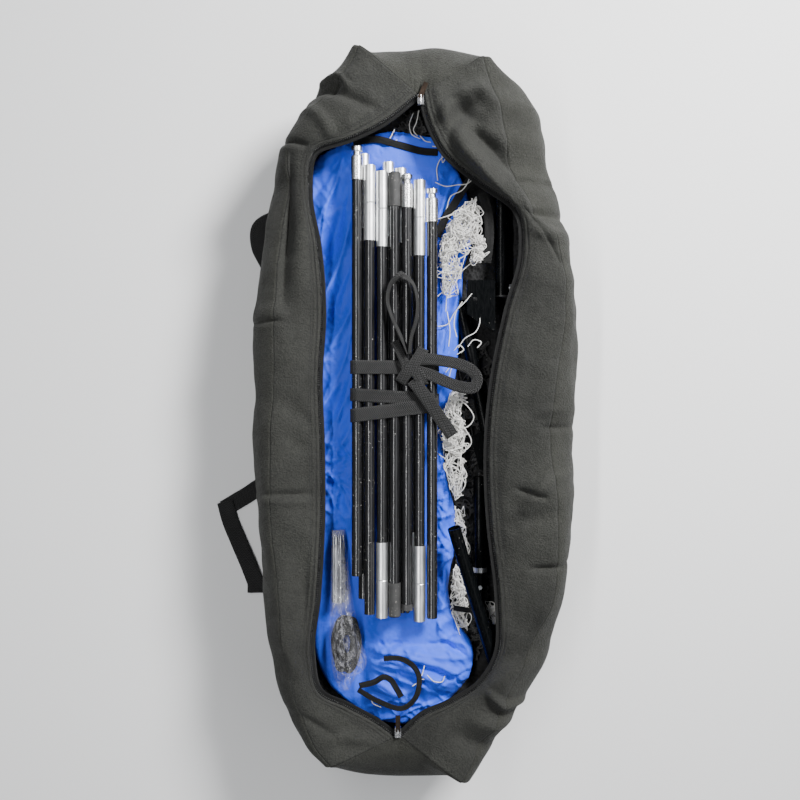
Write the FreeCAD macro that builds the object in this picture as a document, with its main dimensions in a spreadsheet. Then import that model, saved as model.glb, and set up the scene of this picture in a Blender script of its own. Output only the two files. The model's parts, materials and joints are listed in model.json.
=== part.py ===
"""Portable sports goal net kit, packed in its open holdall.

A soft holdall lies on the ground with its long zip open. Inside are the folded net, a blue target
sheet, eleven pole sections tied with webbing, the steel base frame and a bag of pegs and rope.
Millimetres. +Z is up, +Y runs along the bag to its head end, +X is the side of the base frame.
The origin is on the ground under the middle of the bag.
"""
import FreeCAD
import Part
import Sketcher
import math
import os

V = FreeCAD.Vector
X_AXIS, Y_AXIS, Z_AXIS = V(1, 0, 0), V(0, 1, 0), V(0, 0, 1)
ALONG_Y = FreeCAD.Rotation(X_AXIS, -90)     # turns a shape built along +Z to run along +Y
AGAINST_Y = FreeCAD.Rotation(X_AXIS, 90)    # the same, along -Y
ALONG_X = FreeCAD.Rotation(Y_AXIS, 90)      # the same, along +X

doc = FreeCAD.newDocument("goal_net_kit")
kept = []                                    # every sub-part, in the order it is made

# ---------------------------------------------------------------- driving dimensions

SIZES = {
    "cloth_t": 2.5,           # thickness of the bag's panels
    "zip_tape_w": 10.0,       # zip tape and coil that stand out from a lid
    "rod_od": 15.6,           # pole rod
    "rod_wall": 2.6,
    "pole_pitch": 18.3,       # spacing of the poles, side by side
    "ferrule_od": 17.8,
    "ferrule_bore": 15.8,
    "ferrule_len": 110.0,
    "bead_w": 2.0,            # rolled stop halfway along a ferrule
    "bead_bore": 13.4,
    "tip_grip": 21.0,         # length of a steel tip that sleeves the rod
    "tip_body": 14.0,
    "tip_neck": 6.0,
    "tip_head": 8.0,
    "tip_neck_r": 5.6,
    "tip_head_r": 8.3,
    "boot_od": 18.1,          # rubber boot on a rod's end
    "boot_grip": 46.0,
    "boot_end": 4.0,
    "webbing_w": 20.0,        # tie strap
    "webbing_t": 1.6,
    "handle_w": 30.0,         # carrying handle webbing
    "handle_t": 2.2,
    "base_od": 19.05,         # thin base frame tube
    "base_wall": 1.2,
    "leg_od": 22.0,           # thick base frame tube
    "leg_wall": 1.2,
    "inner_od": 16.0,         # tube that telescopes in the thin one
    "plate_t": 2.5,           # bracket and gusset steel
    "bolt_d": 6.0,
    "bolt_hole": 6.12,
    "stake_hole": 6.5,
    "button_d": 6.0,
    "button_hole": 6.1,
    "collar_w": 7.0,          # bright ring on the mouth of the lower leg
    "slider_w": 9.2,          # zip slider
    "slider_l": 15.0,
    "slider_h": 8.0,
    "bail_d": 2.0,
    "pull_w": 7.0,
    "pull_l": 24.0,
    "pull_t": 1.6,
    "peg_d": 5.2,
    "peg_l": 92.0,
    "peg_point": 10.0,
    "poly_wall": 0.8,
    "core_h": 104.0,          # folded net in the bottom of the bag
    "sheet_h": 8.5,           # flat layers of the target sheet over it
}

sheet = doc.addObject("Spreadsheet::Sheet", "Sizes")
for row, (alias, value) in enumerate(SIZES.items(), start=1):
    sheet.set(f"A{row}", alias)
    sheet.set(f"B{row}", str(value))
    sheet.setAlias(f"B{row}", alias)
doc.recompute()


def size(alias):
    """A driving dimension, read from the sheet."""
    return float(sheet.get(alias))


ROD_R = size("rod_od") / 2
PITCH = size("pole_pitch")

# ---------------------------------------------------------------- helpers


def keep(obj, label):
    """Marks a document object as a sub-part, under its own name."""
    obj.Label = label
    kept.append(obj)
    return obj


def set_sizes(obj, **values):
    """Sets properties: a text is an expression of the sheet, anything else a plain value."""
    for prop, value in values.items():
        if isinstance(value, str):
            obj.setExpression(prop, value)
        else:
            setattr(obj, prop, value)


def made(kind, name, base=V(0, 0, 0), turn=FreeCAD.Rotation(), **values):
    """A document object of one kind, sized and placed."""
    obj = doc.addObject(kind, name)
    set_sizes(obj, **values)
    obj.Placement = FreeCAD.Placement(base, turn)
    return obj


def cylinder(name, radius, height, base=V(0, 0, 0), turn=FreeCAD.Rotation()):
    return made("Part::Cylinder", name, base, turn, Radius=radius, Height=height)


def cut(name, base, tool):
    return made("Part::Cut", name, Base=base, Tool=tool)


def fuse(name, pieces):
    return made("Part::MultiFuse", name, Shapes=pieces)


def group(name, pieces):
    """Separate pieces that share one sub-part."""
    return made("Part::Compound", name, Links=pieces)


def box(name, length, width, height, base=V(0, 0, 0)):
    return made("Part::Box", name, base, Length=length, Width=width, Height=height)


def rounded(name, base, edges, radius):
    return made("Part::Fillet", name, Base=base, Edges=[(n, radius, radius) for n in edges])


def extrude(name, outline, direction, length):
    """A closed outline object, raised along a direction."""
    obj = made("Part::Extrusion", name, Base=outline, Dir=direction, LengthFwd=length,
               Solid=True)
    obj.DirMode = "Custom"
    return obj


def extruded(name, corners, direction, length):
    """A closed outline of points, raised along a direction."""
    outline = made("Part::Polygon", name + "_outline", Nodes=corners, Close=True)
    return extrude(name, outline, direction, length)


def raised(name, outline, z, height):
    """An outline in X and Y, raised from a height."""
    return extruded(name, [V(x, y, z) for x, y in outline], Z_AXIS, height)


def tube_between(name, a, b, outer_radius, wall):
    """An open steel tube from one point to another."""
    along = b - a
    outer = cylinder(name + "_outer", outer_radius, along.Length)
    bore = cylinder(name + "_bore", f"{outer_radius} - {wall}", along.Length)
    tube = cut(name + "_pipe", outer, bore)
    tube.Placement = FreeCAD.Placement(a, FreeCAD.Rotation(Z_AXIS, along))
    return tube


def revolved(label, profile, placement):
    """A PartDesign body turned about its own Z axis.

    The profile's corners are (radius, height) expressions, and a dimension of the sketch holds
    each of them to the sheet. A zero puts the corner on an axis.
    """
    body = doc.addObject("PartDesign::Body", label + "_body")
    sketch = body.newObject("Sketcher::SketchObject", label + "_profile")
    plane = next(f for f in body.Origin.OriginFeatures if f.Role == "XZ_Plane")
    sketch.AttachmentSupport = [(plane, "")]
    sketch.MapMode = "FlatFace"
    corners = [V(*(float(sketch.evalExpression(e)) for e in corner), 0) for corner in profile]
    for a, b in zip(corners, corners[1:] + corners[:1]):
        sketch.addGeometry(Part.LineSegment(a, b), False)
    count = len(corners)
    for line in range(count):
        sketch.addConstraint(
            Sketcher.Constraint("Coincident", line, 2, (line + 1) % count, 1))
    for line, (corner, at) in enumerate(zip(profile, corners)):
        for kind, expression, value, axis in (("DistanceX", corner[0], at.x, -2),
                                              ("DistanceY", corner[1], at.y, -1)):
            if expression == "0":
                sketch.addConstraint(Sketcher.Constraint("PointOnObject", line, 1, axis))
            else:
                index = sketch.addConstraint(
                    Sketcher.Constraint(kind, -1, 1, line, 1, value))
                sketch.setExpression(f"Constraints[{index}]", expression)
    turn = body.newObject("PartDesign::Revolution", label + "_turn")
    turn.Profile = sketch
    turn.ReferenceAxis = (sketch, ["V_Axis"])
    turn.Angle = 360
    body.Placement = placement
    return body


def solid_feature(label, shape):
    """A sub-part of straps or cloth, whose shape is worked out in code."""
    feature = doc.addObject("Part::Feature", label + "_shape")
    feature.Shape = shape
    return keep(feature, label)


def band(points, width, thick, upright=False):
    """A flat strap laid along points, as overlapping straight runs in one solid.

    Its width lies level, or stands upright for a strap on its edge.
    """
    runs = []
    for a, b in zip(points, points[1:]):
        a, b = V(*a), V(*b)
        along = b - a
        side = Z_AXIS.cross(along).normalize()
        lift = along.normalize().cross(side)
        across, through = (lift, side) if upright else (side, lift)
        half, depth = across * (width / 2), through * (thick / 2)
        overlap = along * (thick if upright else width * 0.35)
        corner = [a - overlap + half + depth, a - overlap + half - depth,
                  a - overlap - half - depth, a - overlap - half + depth]
        face = Part.Face(Part.makePolygon(corner + corner[:1]))
        runs.append(face.extrude(b - a + overlap * 2))
    return runs[0].multiFuse(runs[1:]).removeSplitter()


# ---------------------------------------------------------------- holdall: rails

# Stations run from the foot end to the head end. Each gives three points of one side:
# the zip edge, the seam where the lid meets the wall, and the widest place of the wall.
LEFT = [
    ((-31, -473, 168), (-120, -509, 182), (-128, -508, 110)),
    ((-60, -453, 166), (-140, -488, 176), (-160, -490, 105)),
    ((-100, -432, 164), (-158, -455, 171), (-183, -455, 105)),
    ((-135, -410, 162), (-176, -415, 169), (-200, -405, 105)),
    ((-146, -355, 160), (-188, -350, 168), (-212, -345, 105)),
    ((-138, -270, 158), (-199, -262, 168), (-223, -255, 105)),
    ((-133, -165, 158), (-208, -165, 168), (-231, -160, 105)),
    ((-134, -50, 160), (-209, -50, 170), (-238, -50, 105)),
    ((-136, 50, 160), (-205, 50, 170), (-240, 50, 105)),
    ((-130, 150, 160), (-205, 150, 170), (-238, 145, 105)),
    ((-136, 240, 162), (-200, 240, 170), (-228, 235, 105)),
    ((-150, 320, 166), (-192, 325, 172), (-215, 320, 108)),
    ((-140, 384, 174), (-184, 392, 176), (-197, 395, 112)),
    ((-95, 400, 182), (-140, 440, 180), (-163, 445, 112)),
    ((-45, 425, 180), (-100, 485, 182), (-132, 490, 112)),
    ((2, 464, 174), (-80, 528, 185), (-92, 520, 110)),
]
RIGHT = [
    ((-19, -473, 168), (66, -532, 182), (84, -524, 110)),
    ((10, -446, 166), (90, -490, 175), (115, -488, 105)),
    ((50, -428, 164), (120, -440, 171), (150, -440, 105)),
    ((96, -400, 162), (145, -385, 170), (185, -385, 105)),
    ((124, -355, 159), (175, -330, 169), (207, -325, 105)),
    ((126, -275, 158), (203, -262, 168), (222, -250, 105)),
    ((114, -165, 158), (208, -165, 168), (233, -155, 105)),
    ((110, -50, 158), (197, -40, 170), (238, -40, 105)),
    ((119, 50, 158), (205, 55, 168), (239, 60, 105)),
    ((138, 145, 161), (219, 150, 165), (238, 150, 105)),
    ((160, 235, 166), (208, 240, 170), (228, 240, 105)),
    ((150, 297, 172), (165, 305, 175), (217, 305, 105)),
    ((95, 338, 177), (140, 365, 176), (204, 365, 105)),
    ((45, 380, 178), (125, 425, 178), (190, 425, 105)),
    ((21, 430, 176), (108, 480, 181), (165, 480, 108)),
    ((14, 464, 174), (98, 514, 185), (116, 512, 110)),
]
UNDERCUT = 45           # how far the floor's edge lies inside the wall's widest place
LOW_WALL_Z = 50         # height of the wall's lower bend
LOW_WALL_IN = 8
HIGH_WALL_SHARE = 0.75  # the upper bend lies this far from the seam to the widest place
HIGH_WALL_OUT = 5
HEAD_FLOOR_Y, FOOT_FLOOR_Y = 500, -496
HEAD_BULGE_Y, FOOT_BULGE_Y = 541, -540


def side_points(station, side, floor_y=None):
    """One side's points, from the zip's edge out, down the wall and in to the floor's edge."""
    zip_edge, seam, wide = (V(*p) for p in station)
    inwards = (zip_edge - seam).normalize()
    lid_edge = zip_edge - inwards * size("zip_tape_w")
    high = seam + (wide - seam) * HIGH_WALL_SHARE
    high.z = seam.z + (wide.z - seam.z) * 0.45
    high.x += side * HIGH_WALL_OUT
    low = V(wide.x - side * LOW_WALL_IN, wide.y, LOW_WALL_Z)
    floor = V(wide.x - side * UNDERCUT, wide.y if floor_y is None else floor_y, 0)
    return [zip_edge, lid_edge, seam, high, wide, low, floor]


def shell_section(i):
    """One whole section of the bag, from the left zip edge under the floor to the right one."""
    floor_y = {0: FOOT_FLOOR_Y, len(LEFT) - 1: HEAD_FLOOR_Y}.get(i)
    left = side_points(LEFT[i], -1, floor_y)
    right = side_points(RIGHT[i], 1, floor_y)
    middle = (left[-1] + right[-1]) * 0.5
    return left + [middle] + right[::-1]


def normals(grid):
    """Unit normals of a grid of points, pointing to the left of its columns as rows go on."""
    rows, cols = len(grid), len(grid[0])
    found = []
    for i in range(rows):
        line = []
        for j in range(cols):
            along = grid[min(i + 1, rows - 1)][j] - grid[max(i - 1, 0)][j]
            across = grid[i][min(j + 1, cols - 1)] - grid[i][max(j - 1, 0)]
            line.append(along.cross(across).normalize())
        found.append(line)
    return found


def offset(grid, unit, distance):
    return [[p + n * distance for p, n in zip(ps, ns)] for ps, ns in zip(grid, unit)]


def quad(a, b, c, d):
    """A four-cornered patch as two flat triangles, split from a to c."""
    faces = []
    for corner in ((a, b, c), (a, c, d)):
        sides = corner[1] - corner[0], corner[2] - corner[0]
        if sides[0].cross(sides[1]).Length > 1e-6:
            faces.append(Part.Face(Part.makePolygon(list(corner) + [corner[0]])))
    return faces


def panel(outer, inner):
    """A closed solid between two grids of points with the same rows and columns.

    If its faces turn out to face inwards, the grids are read the other way round.
    """
    rows, cols = len(outer), len(outer[0])
    faces = []
    for i in range(rows - 1):
        for j in range(cols - 1):
            faces += quad(outer[i][j], outer[i][j + 1], outer[i + 1][j + 1], outer[i + 1][j])
            faces += quad(inner[i][j], inner[i][j + 1], inner[i + 1][j + 1], inner[i + 1][j])
    for j in (0, cols - 1):
        for i in range(rows - 1):
            faces += quad(outer[i][j], outer[i + 1][j], inner[i + 1][j], inner[i][j])
    for i in (0, rows - 1):
        for j in range(cols - 1):
            faces += quad(outer[i][j], outer[i][j + 1], inner[i][j + 1], inner[i][j])
    shell = Part.makeShell(faces)
    shell.sewShape()
    solid = Part.Solid(shell)
    if solid.Volume > 0:
        return solid
    return panel([row[::-1] for row in outer], [row[::-1] for row in inner])


ZIP_L, LID_L, SEAM_L, FLOOR_L = 0, 1, 2, 6
FLOOR_MIDDLE = 7
FLOOR_R, SEAM_R, LID_R, ZIP_R = 8, 12, 13, 14
END_TOP = [SEAM_L, LID_L, ZIP_L, ZIP_R, LID_R, SEAM_R]
END_SPANS = 5                                # spans across an end panel
END_REACH = {1: 1.0, 2: 1.0, 3: 0.72}        # share of the full bulge at each level below the top
FLOOR_LEVEL = 4


def end_grid(points, bulge_y):
    """The outside of an end: it leans in to the zip, folds at the corners and drops.

    Its top row is the two lid seams, which meet at the zip. Its sides are the wall seams.
    """
    grid = [[points[c] for c in END_TOP]]
    for level in range(1, FLOOR_LEVEL + 1):
        left, right = points[SEAM_L + level], points[SEAM_R - level]
        row = [left + (right - left) * (k / END_SPANS) for k in range(END_SPANS + 1)]
        for k in range(1, END_SPANS):
            swell = END_REACH.get(level, 0) * math.sqrt(math.sin(math.pi * k / END_SPANS))
            row[k].y += (bulge_y - row[k].y) * swell
        grid.append(row)
    return grid


def mitre(point, one, other):
    """The inside of a corner where two panels of the same thickness meet."""
    return point + (one + other) * (size("cloth_t") / (1 + one.dot(other)))


def end_panel(station, bulge_y):
    """One end of the bag as a solid. It also sets the shell's own corner points there."""
    outer = end_grid(OUTER[station], bulge_y)
    unit = normals(outer)
    if unit[2][2].y * bulge_y > 0:
        unit = [[-n for n in row] for row in unit]
    inner = offset(outer, unit, size("cloth_t"))
    rim = [(0, k, column) for k, column in enumerate(END_TOP)]
    rim += [(level, 0, SEAM_L + level) for level in range(1, FLOOR_LEVEL + 1)]
    rim += [(level, END_SPANS, SEAM_R - level) for level in range(1, FLOOR_LEVEL + 1)]
    for row, k, column in rim:
        corner = mitre(OUTER[station][column], INWARD[station][column], unit[row][k])
        inner[row][k] = INNER[station][column] = corner
    left, right = INNER[station][FLOOR_L], INNER[station][FLOOR_R]
    for k in range(1, END_SPANS):
        inner[FLOOR_LEVEL][k] = left + (right - left) * (k / END_SPANS)
    INNER[station][FLOOR_MIDDLE] = (left + right) * 0.5
    return panel(outer, inner)


OUTER = [shell_section(i) for i in range(len(LEFT))]
INWARD = normals(OUTER)
if INWARD[len(LEFT) // 2][FLOOR_MIDDLE].z < 0:
    INWARD = [[-n for n in row] for row in INWARD]
INNER = offset(OUTER, INWARD, size("cloth_t"))
HEAD_END = end_panel(len(LEFT) - 1, HEAD_BULGE_Y)
FOOT_END = end_panel(0, FOOT_BULGE_Y)


def strip(first, last):
    """The part of the bag's shell between two columns, as a solid."""
    return panel([row[first:last + 1] for row in OUTER], [row[first:last + 1] for row in INNER])


def build_holdall():
    pieces = {
        "bag_floor": strip(FLOOR_L, FLOOR_R),
        "bag_wall_left": strip(SEAM_L, FLOOR_L),
        "bag_wall_right": strip(FLOOR_R, SEAM_R),
        "bag_lid_left": strip(LID_L, SEAM_L),
        "bag_lid_right": strip(SEAM_R, LID_R),
        "zip_tape_left": strip(ZIP_L, LID_L),
        "zip_tape_right": strip(LID_R, ZIP_R),
    }
    long_panels = list(pieces.values())
    for label, shape in (("bag_end_head", HEAD_END), ("bag_end_foot", FOOT_END)):
        trimmed = shape.cut(long_panels)
        pieces[label] = max(trimmed.Solids, key=lambda solid: solid.Volume)
    for label, shape in pieces.items():
        solid_feature(label, shape)


# ---------------------------------------------------------------- zip sliders and pulls

HEAD_SLIDER = V(8, 454, 176)
FOOT_SLIDER = V(-25, -464, 170)
BAIL_RISE = 4.0         # height of the bail's bar over the slider's back
POST_REACH = 4.5        # from the slider's middle to each post of the bail
HEAD_PULL_TURN = -22    # degrees


def zip_slider(label, centre):
    """A cast body with a bail on its back, in which the pull turns."""
    half = V(size("slider_w") / 2, size("slider_l") / 2, size("slider_h") / 2)
    block = box(label + "_block", "Sizes.slider_w", "Sizes.slider_l", "Sizes.slider_h", -half)
    body = rounded(label + "_rounded", block, (1, 3, 5, 7), 1.8)
    posts = [cylinder(f"{label}_post_{way}", "Sizes.bail_d / 2", BAIL_RISE,
                      V(0, reach, half.z - 0.5))
             for way, reach in (("foot", -POST_REACH), ("head", POST_REACH))]
    bar = cylinder(label + "_bar", "Sizes.bail_d / 2", 2 * POST_REACH + 2,
                   V(0, -POST_REACH - 1, half.z + BAIL_RISE - 0.5), ALONG_Y)
    whole = fuse(label + "_cast", [body, bar] + posts)
    whole.Placement.Base = centre
    keep(whole, label)


def zip_pull(label, centre, turn):
    """The flat tab that lies on the slider, its eye round the front post of the bail."""
    width, thick = size("pull_w"), size("pull_t")
    tab = box(label + "_tab", "Sizes.pull_w", "Sizes.pull_l", "Sizes.pull_t",
              V(-width / 2, -3, -thick / 2))
    eye = cylinder(label + "_eye", "Sizes.bail_d / 2 + 0.5", 2 * thick, V(0, 0, -thick))
    whole = cut(label + "_plate", tab, eye)
    whole.Placement = FreeCAD.Placement(centre, turn)
    keep(whole, label)


def build_zip():
    zip_slider("zip_slider_head", HEAD_SLIDER)
    zip_slider("zip_slider_foot", FOOT_SLIDER)
    post = V(0, POST_REACH, size("slider_h") / 2 + size("pull_t") / 2 + 0.3)
    zip_pull("zip_pull_head", HEAD_SLIDER + post, FreeCAD.Rotation(Z_AXIS, HEAD_PULL_TURN))
    zip_pull("zip_pull_foot", FOOT_SLIDER + post, FreeCAD.Rotation())


# ---------------------------------------------------------------- carrying handles

HANDLE_Z = 2.5          # middle of the webbing where it lies on the ground
HANDLE_LEFT = [(-193, -284), (-258, -282), (-300, -172), (-250, -120), (-228, -92),
               (-226, 20), (-226, 150), (-226, 222), (-250, 262), (-250, 300), (-191, 320)]
HANDLE_RIGHT = [(202, -256), (222, -232), (228, -90), (228, 40), (228, 160), (222, 232),
                (204, 256)]


def build_handles():
    for label, route in (("handle_left", HANDLE_LEFT), ("handle_right", HANDLE_RIGHT)):
        points = [(x, y, HANDLE_Z) for x, y in route]
        solid_feature(label, band(points, size("handle_w"), size("handle_t")))


# ---------------------------------------------------------------- folded net, sheet, bindings

BUNDLE_X = -30.0
UPPER_Z, LOWER_Z = 163.0, 147.0
BED_Z = LOWER_Z - ROD_R - size("webbing_t") - 1.4      # top of the cloth under the poles
GAP = 0.5               # left between soft pieces that touch
CORE_LOW = 4.0
CORE_TOP = CORE_LOW + size("core_h")
SHEET_LOW = CORE_TOP + GAP
SHEET_TOP = SHEET_LOW + size("sheet_h")
MOUND_Z = 151.0

CORE_CLEAR = 8.0        # from the folded net to the foot of the walls
CORE_STATIONS = range(2, 14)
CORE_OUTLINE = ([(INNER[i][FLOOR_L].x + CORE_CLEAR, INNER[i][FLOOR_L].y) for i in CORE_STATIONS]
                + [(INNER[i][FLOOR_R].x - CORE_CLEAR, INNER[i][FLOOR_R].y)
                   for i in reversed(CORE_STATIONS)])
SHEET_OUTLINE = [(-140, -395), (-95, -438), (-20, -450), (60, -425), (84, -385), (84, -338),
                 (54, -334), (54, 400), (30, 430), (-60, 425), (-120, 390), (-145, 340)]
PAD_OUTLINE = [(-56, -342), (54, -342), (54, 395), (30, 420), (-60, 415), (-116, 384),
               (-128, 340), (-128, -160), (-56, -160)]
MOUND_OUTLINE = [(-58, -350), (92, -350), (92, -384), (50, -418), (0, -440), (-24, -454),
                 (-50, -446), (-84, -430), (-88, -404), (-60, -392)]
NET_UPPER_OUTLINE = [(39, 176), (39, 250), (72, 322), (92, 322), (104, 300), (104, 222),
                     (74, 220), (74, 176)]
NET_LOWER_OUTLINE = [(40, 44), (76, 44), (76, -150), (40, -150)]
NET_FOOT_OUTLINE = [(64, -222), (86, -222), (86, -330), (64, -330)]
BINDING_ROUTE = [(-62, 408, 138), (-22, 398, 138), (32, 388, 138)]
CORNER_LOOP = [(-82, -412, 153), (-55, -428, 153), (-15, -436, 153), (3, -405, 153),
               (5, -384, 153), (-12, -366, 153), (-42, -362, 153)]
CORNER_TAIL = [(-78, -404, 155.2), (-44, -392, 155.2), (-28, -396, 155.2), (-20, -416, 155.2)]


def build_soft_goods():
    """The net folded in the bottom, the blue sheet over it, loose net and the straps."""
    keep(raised("core", CORE_OUTLINE, CORE_LOW, "Sizes.core_h"), "folded_net_core")
    base = raised("sheet_flat", SHEET_OUTLINE, SHEET_LOW, "Sizes.sheet_h")
    pad = raised("sheet_bed", PAD_OUTLINE, SHEET_TOP, BED_Z - SHEET_TOP)
    mound = raised("sheet_mound", MOUND_OUTLINE, SHEET_TOP, MOUND_Z - SHEET_TOP)
    keep(group("sheet_layers", [base, pad, mound]), "target_sheet")
    upper = raised("net_upper", NET_UPPER_OUTLINE, BED_Z + GAP, 23)
    keep(upper, "net_bunch_upper")
    lower = raised("net_lower", NET_LOWER_OUTLINE, BED_Z + GAP, 21)
    foot = raised("net_foot", NET_FOOT_OUTLINE, CORE_TOP + GAP, 24)
    keep(group("net_lower_pair", [lower, foot]), "net_bunch_lower")
    solid_feature("sheet_binding", band(BINDING_ROUTE, 14, 2))
    loop = band(CORNER_LOOP, 12, 1.6)
    tail = band(CORNER_TAIL, 12, 1.6)
    solid_feature("corner_loops", Part.makeCompound([loop, tail]))


# ---------------------------------------------------------------- poles

# name: (place across in pitches from the middle pole, height, foot end of rod, head end of rod,
#        what is on the foot end, what is on the head end)
POLES = {
    "pole_01": (-3, UPPER_Z, -238.0, 362.0, "plain", "tip"),
    "pole_02": (-2, UPPER_Z, -294.0, 306.0, "plain", "ferrule"),
    "pole_03": (-1, UPPER_Z, -243.0, 297.0, "ferrule", "ferrule"),
    "pole_04": (0, UPPER_Z, -294.0, 348.0, "boot", "boot"),
    "pole_05": (1, UPPER_Z, -279.0, 321.0, "cap", "tip"),
    "pole_06": (2, UPPER_Z, -248.0, 284.0, "ferrule", "ferrule"),
    "pole_07": (3, UPPER_Z, -300.0, 300.0, "plain", "tip"),
    "pole_08": (-2.5, LOWER_Z, -274.0, 326.0, "plain", "ferrule"),
    "pole_09": (-0.5, LOWER_Z, -286.0, 314.0, "plain", "ferrule"),
    "pole_10": (0.5, LOWER_Z, -295.0, 305.0, "plain", "ferrule"),
    "pole_11": (1.5, LOWER_Z, -230.0, 330.0, "ferrule", "plain"),
}


def pole_x(place):
    return BUNDLE_X + place * PITCH


def rod(label, x, z, foot, head):
    """A tube of fibreglass, open at both ends."""
    tube = tube_between(label, V(x, foot, z), V(x, head, z), "Sizes.rod_od / 2",
                        "Sizes.rod_wall")
    keep(tube, label)


BORE, FERRULE = "Sizes.ferrule_bore / 2", "Sizes.ferrule_od / 2"
FERRULE_PROFILE = [
    (BORE, "0"),
    (FERRULE, "0"),
    (FERRULE, "Sizes.ferrule_len / 2 - Sizes.bead_w / 2"),
    (f"{FERRULE} - (Sizes.ferrule_bore - Sizes.bead_bore) / 5", "Sizes.ferrule_len / 2"),
    (FERRULE, "Sizes.ferrule_len / 2 + Sizes.bead_w / 2"),
    (FERRULE, "Sizes.ferrule_len"),
    (BORE, "Sizes.ferrule_len"),
    (BORE, "Sizes.ferrule_len / 2 + Sizes.bead_w / 2"),
    ("Sizes.bead_bore / 2", "Sizes.ferrule_len / 2"),
    (BORE, "Sizes.ferrule_len / 2 - Sizes.bead_w / 2"),
]
SHOULDER = "Sizes.tip_grip + Sizes.tip_body"
NECK_TOP = SHOULDER + " + Sizes.tip_neck"
TIP_TOP = NECK_TOP + " + Sizes.tip_head"
TIP_PROFILE = [
    (BORE, "0"),
    (FERRULE, "0"),
    (FERRULE, SHOULDER + " - 1"),
    (FERRULE + " - 1", SHOULDER),
    ("Sizes.tip_neck_r", SHOULDER),
    ("Sizes.tip_neck_r", NECK_TOP),
    ("Sizes.tip_head_r", NECK_TOP + " + 0.8"),
    ("Sizes.tip_head_r", TIP_TOP + " - 1.2"),
    ("Sizes.tip_head_r - 1.2", TIP_TOP),
    ("0", TIP_TOP),
    ("0", "Sizes.tip_grip"),
    (BORE, "Sizes.tip_grip"),
]
BOOT_TOP = "Sizes.boot_grip + Sizes.boot_end"
BOOT_PROFILE = [
    (BORE, "0"),
    ("Sizes.boot_od / 2", "0"),
    ("Sizes.boot_od / 2", BOOT_TOP + " - 1.5"),
    ("Sizes.boot_od / 2 - 1.5", BOOT_TOP),
    ("0", BOOT_TOP),
    ("0", "Sizes.boot_grip"),
    (BORE, "Sizes.boot_grip"),
]
# fitting: (its profile, how far over the rod's end it reaches)
FITTINGS = {
    "ferrule": (FERRULE_PROFILE, (size("ferrule_len") - size("bead_w")) / 2),
    "tip": (TIP_PROFILE, size("tip_grip")),
    "boot": (BOOT_PROFILE, size("boot_grip")),
}


def pole_fittings(label, x, z, foot, head, on_foot, on_head):
    """The pieces fixed on one rod's ends. Two of a kind on one rod are one sub-part."""
    found = {}
    for end, y, fitting, way in (("foot", foot, on_foot, -1), ("head", head, on_head, 1)):
        if fitting == "cap":
            build_end_cap(label + "_end_cap", V(x, y, z))
        elif fitting != "plain":
            profile, reach = FITTINGS[fitting]
            turn = ALONG_Y if way > 0 else AGAINST_Y
            placement = FreeCAD.Placement(V(x, y - way * reach, z), turn)
            piece = revolved(f"{label}_{end}_{fitting}", profile, placement)
            found.setdefault(fitting, []).append(piece)
    for fitting, pieces in found.items():
        if len(pieces) == 1:
            keep(pieces[0], f"{label}_{fitting}")
        else:
            keep(group(f"{label}_{fitting}_pair", pieces), f"{label}_{fitting}s")


def build_end_cap(label, end):
    """A plastic plug in the rod's foot end, with the knot of the shock cord on it."""
    plug = cylinder(label + "_plug", "Sizes.rod_od / 2 - Sizes.rod_wall - 0.1", 12.0,
                    turn=ALONG_Y)
    rim = cylinder(label + "_rim", "Sizes.ferrule_od / 2 - 0.3", 9.0, turn=AGAINST_Y)
    knot = made("Part::Sphere", label + "_knot", V(1, -11, 0), Radius=3.0)
    whole = fuse(label + "_moulded", [plug, rim, knot])
    whole.Placement.Base = end - V(0, 0.1, 0)
    keep(whole, label)


def build_poles():
    for label, (place, z, foot, head, on_foot, on_head) in POLES.items():
        x = pole_x(place)
        rod(label + "_rod", x, z, foot, head)
        pole_fittings(label, x, z, foot, head, on_foot, on_head)


# ---------------------------------------------------------------- tie straps

TIE_Y = {"upper": 67, "middle": 25, "lower": 2.5}
TIE_GAP = 0.6           # slack between a band and the rods
TIE_BEND = 4.0          # outer radius of a band's corners
TIE_TOP = UPPER_Z + ROD_R + TIE_GAP + size("webbing_t")
BOW_Z = TIE_TOP + 1.4
BOW_LOOP = [(-12, 88, BOW_Z + 6), (-34, 130, BOW_Z + 6), (-40, 165, BOW_Z + 6),
            (-26, 196, BOW_Z + 6), (-6, 194, BOW_Z + 6), (4, 160, BOW_Z + 6),
            (0, 120, BOW_Z + 6), (-8, 88, BOW_Z + 6)]
BOW_RIGHT = [(-2, 76, BOW_Z + 3), (44, 74, BOW_Z + 2), (84, 62, BOW_Z - 2), (86, 36, BOW_Z - 2),
             (44, 44, BOW_Z + 1), (0, 62, BOW_Z + 3)]
BOW_TAIL = [(0, 44, BOW_Z + 6), (22, 12, BOW_Z + 5), (40, -14, BOW_Z + 3), (56, -34, BOW_Z)]
KNOT_LOW, KNOT_HIGH = V(-18, 40, BOW_Z), V(4, 92, BOW_Z + 12)


def tie_band(label, y):
    """Webbing round the whole bundle: a rounded ring that clears the rods."""
    reach = ROD_R + TIE_GAP
    thick, width = size("webbing_t"), size("webbing_w")
    low = V(pole_x(-3) - reach, y - width / 2, LOWER_Z - reach)
    length, height = pole_x(3) - pole_x(-3) + 2 * reach, UPPER_Z - LOWER_Z + 2 * reach
    outer = box(label + "_outer", f"{length} + 2 * Sizes.webbing_t", "Sizes.webbing_w",
                f"{height} + 2 * Sizes.webbing_t", low - V(thick, 0, thick))
    inner = box(label + "_inner", length, "Sizes.webbing_w", height, low)
    soft = [rounded(block.Name + "_soft", block, (2, 4, 6, 8), radius)
            for block, radius in ((outer, TIE_BEND), (inner, TIE_BEND - thick))]
    return cut(label + "_ring", *soft)


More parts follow.
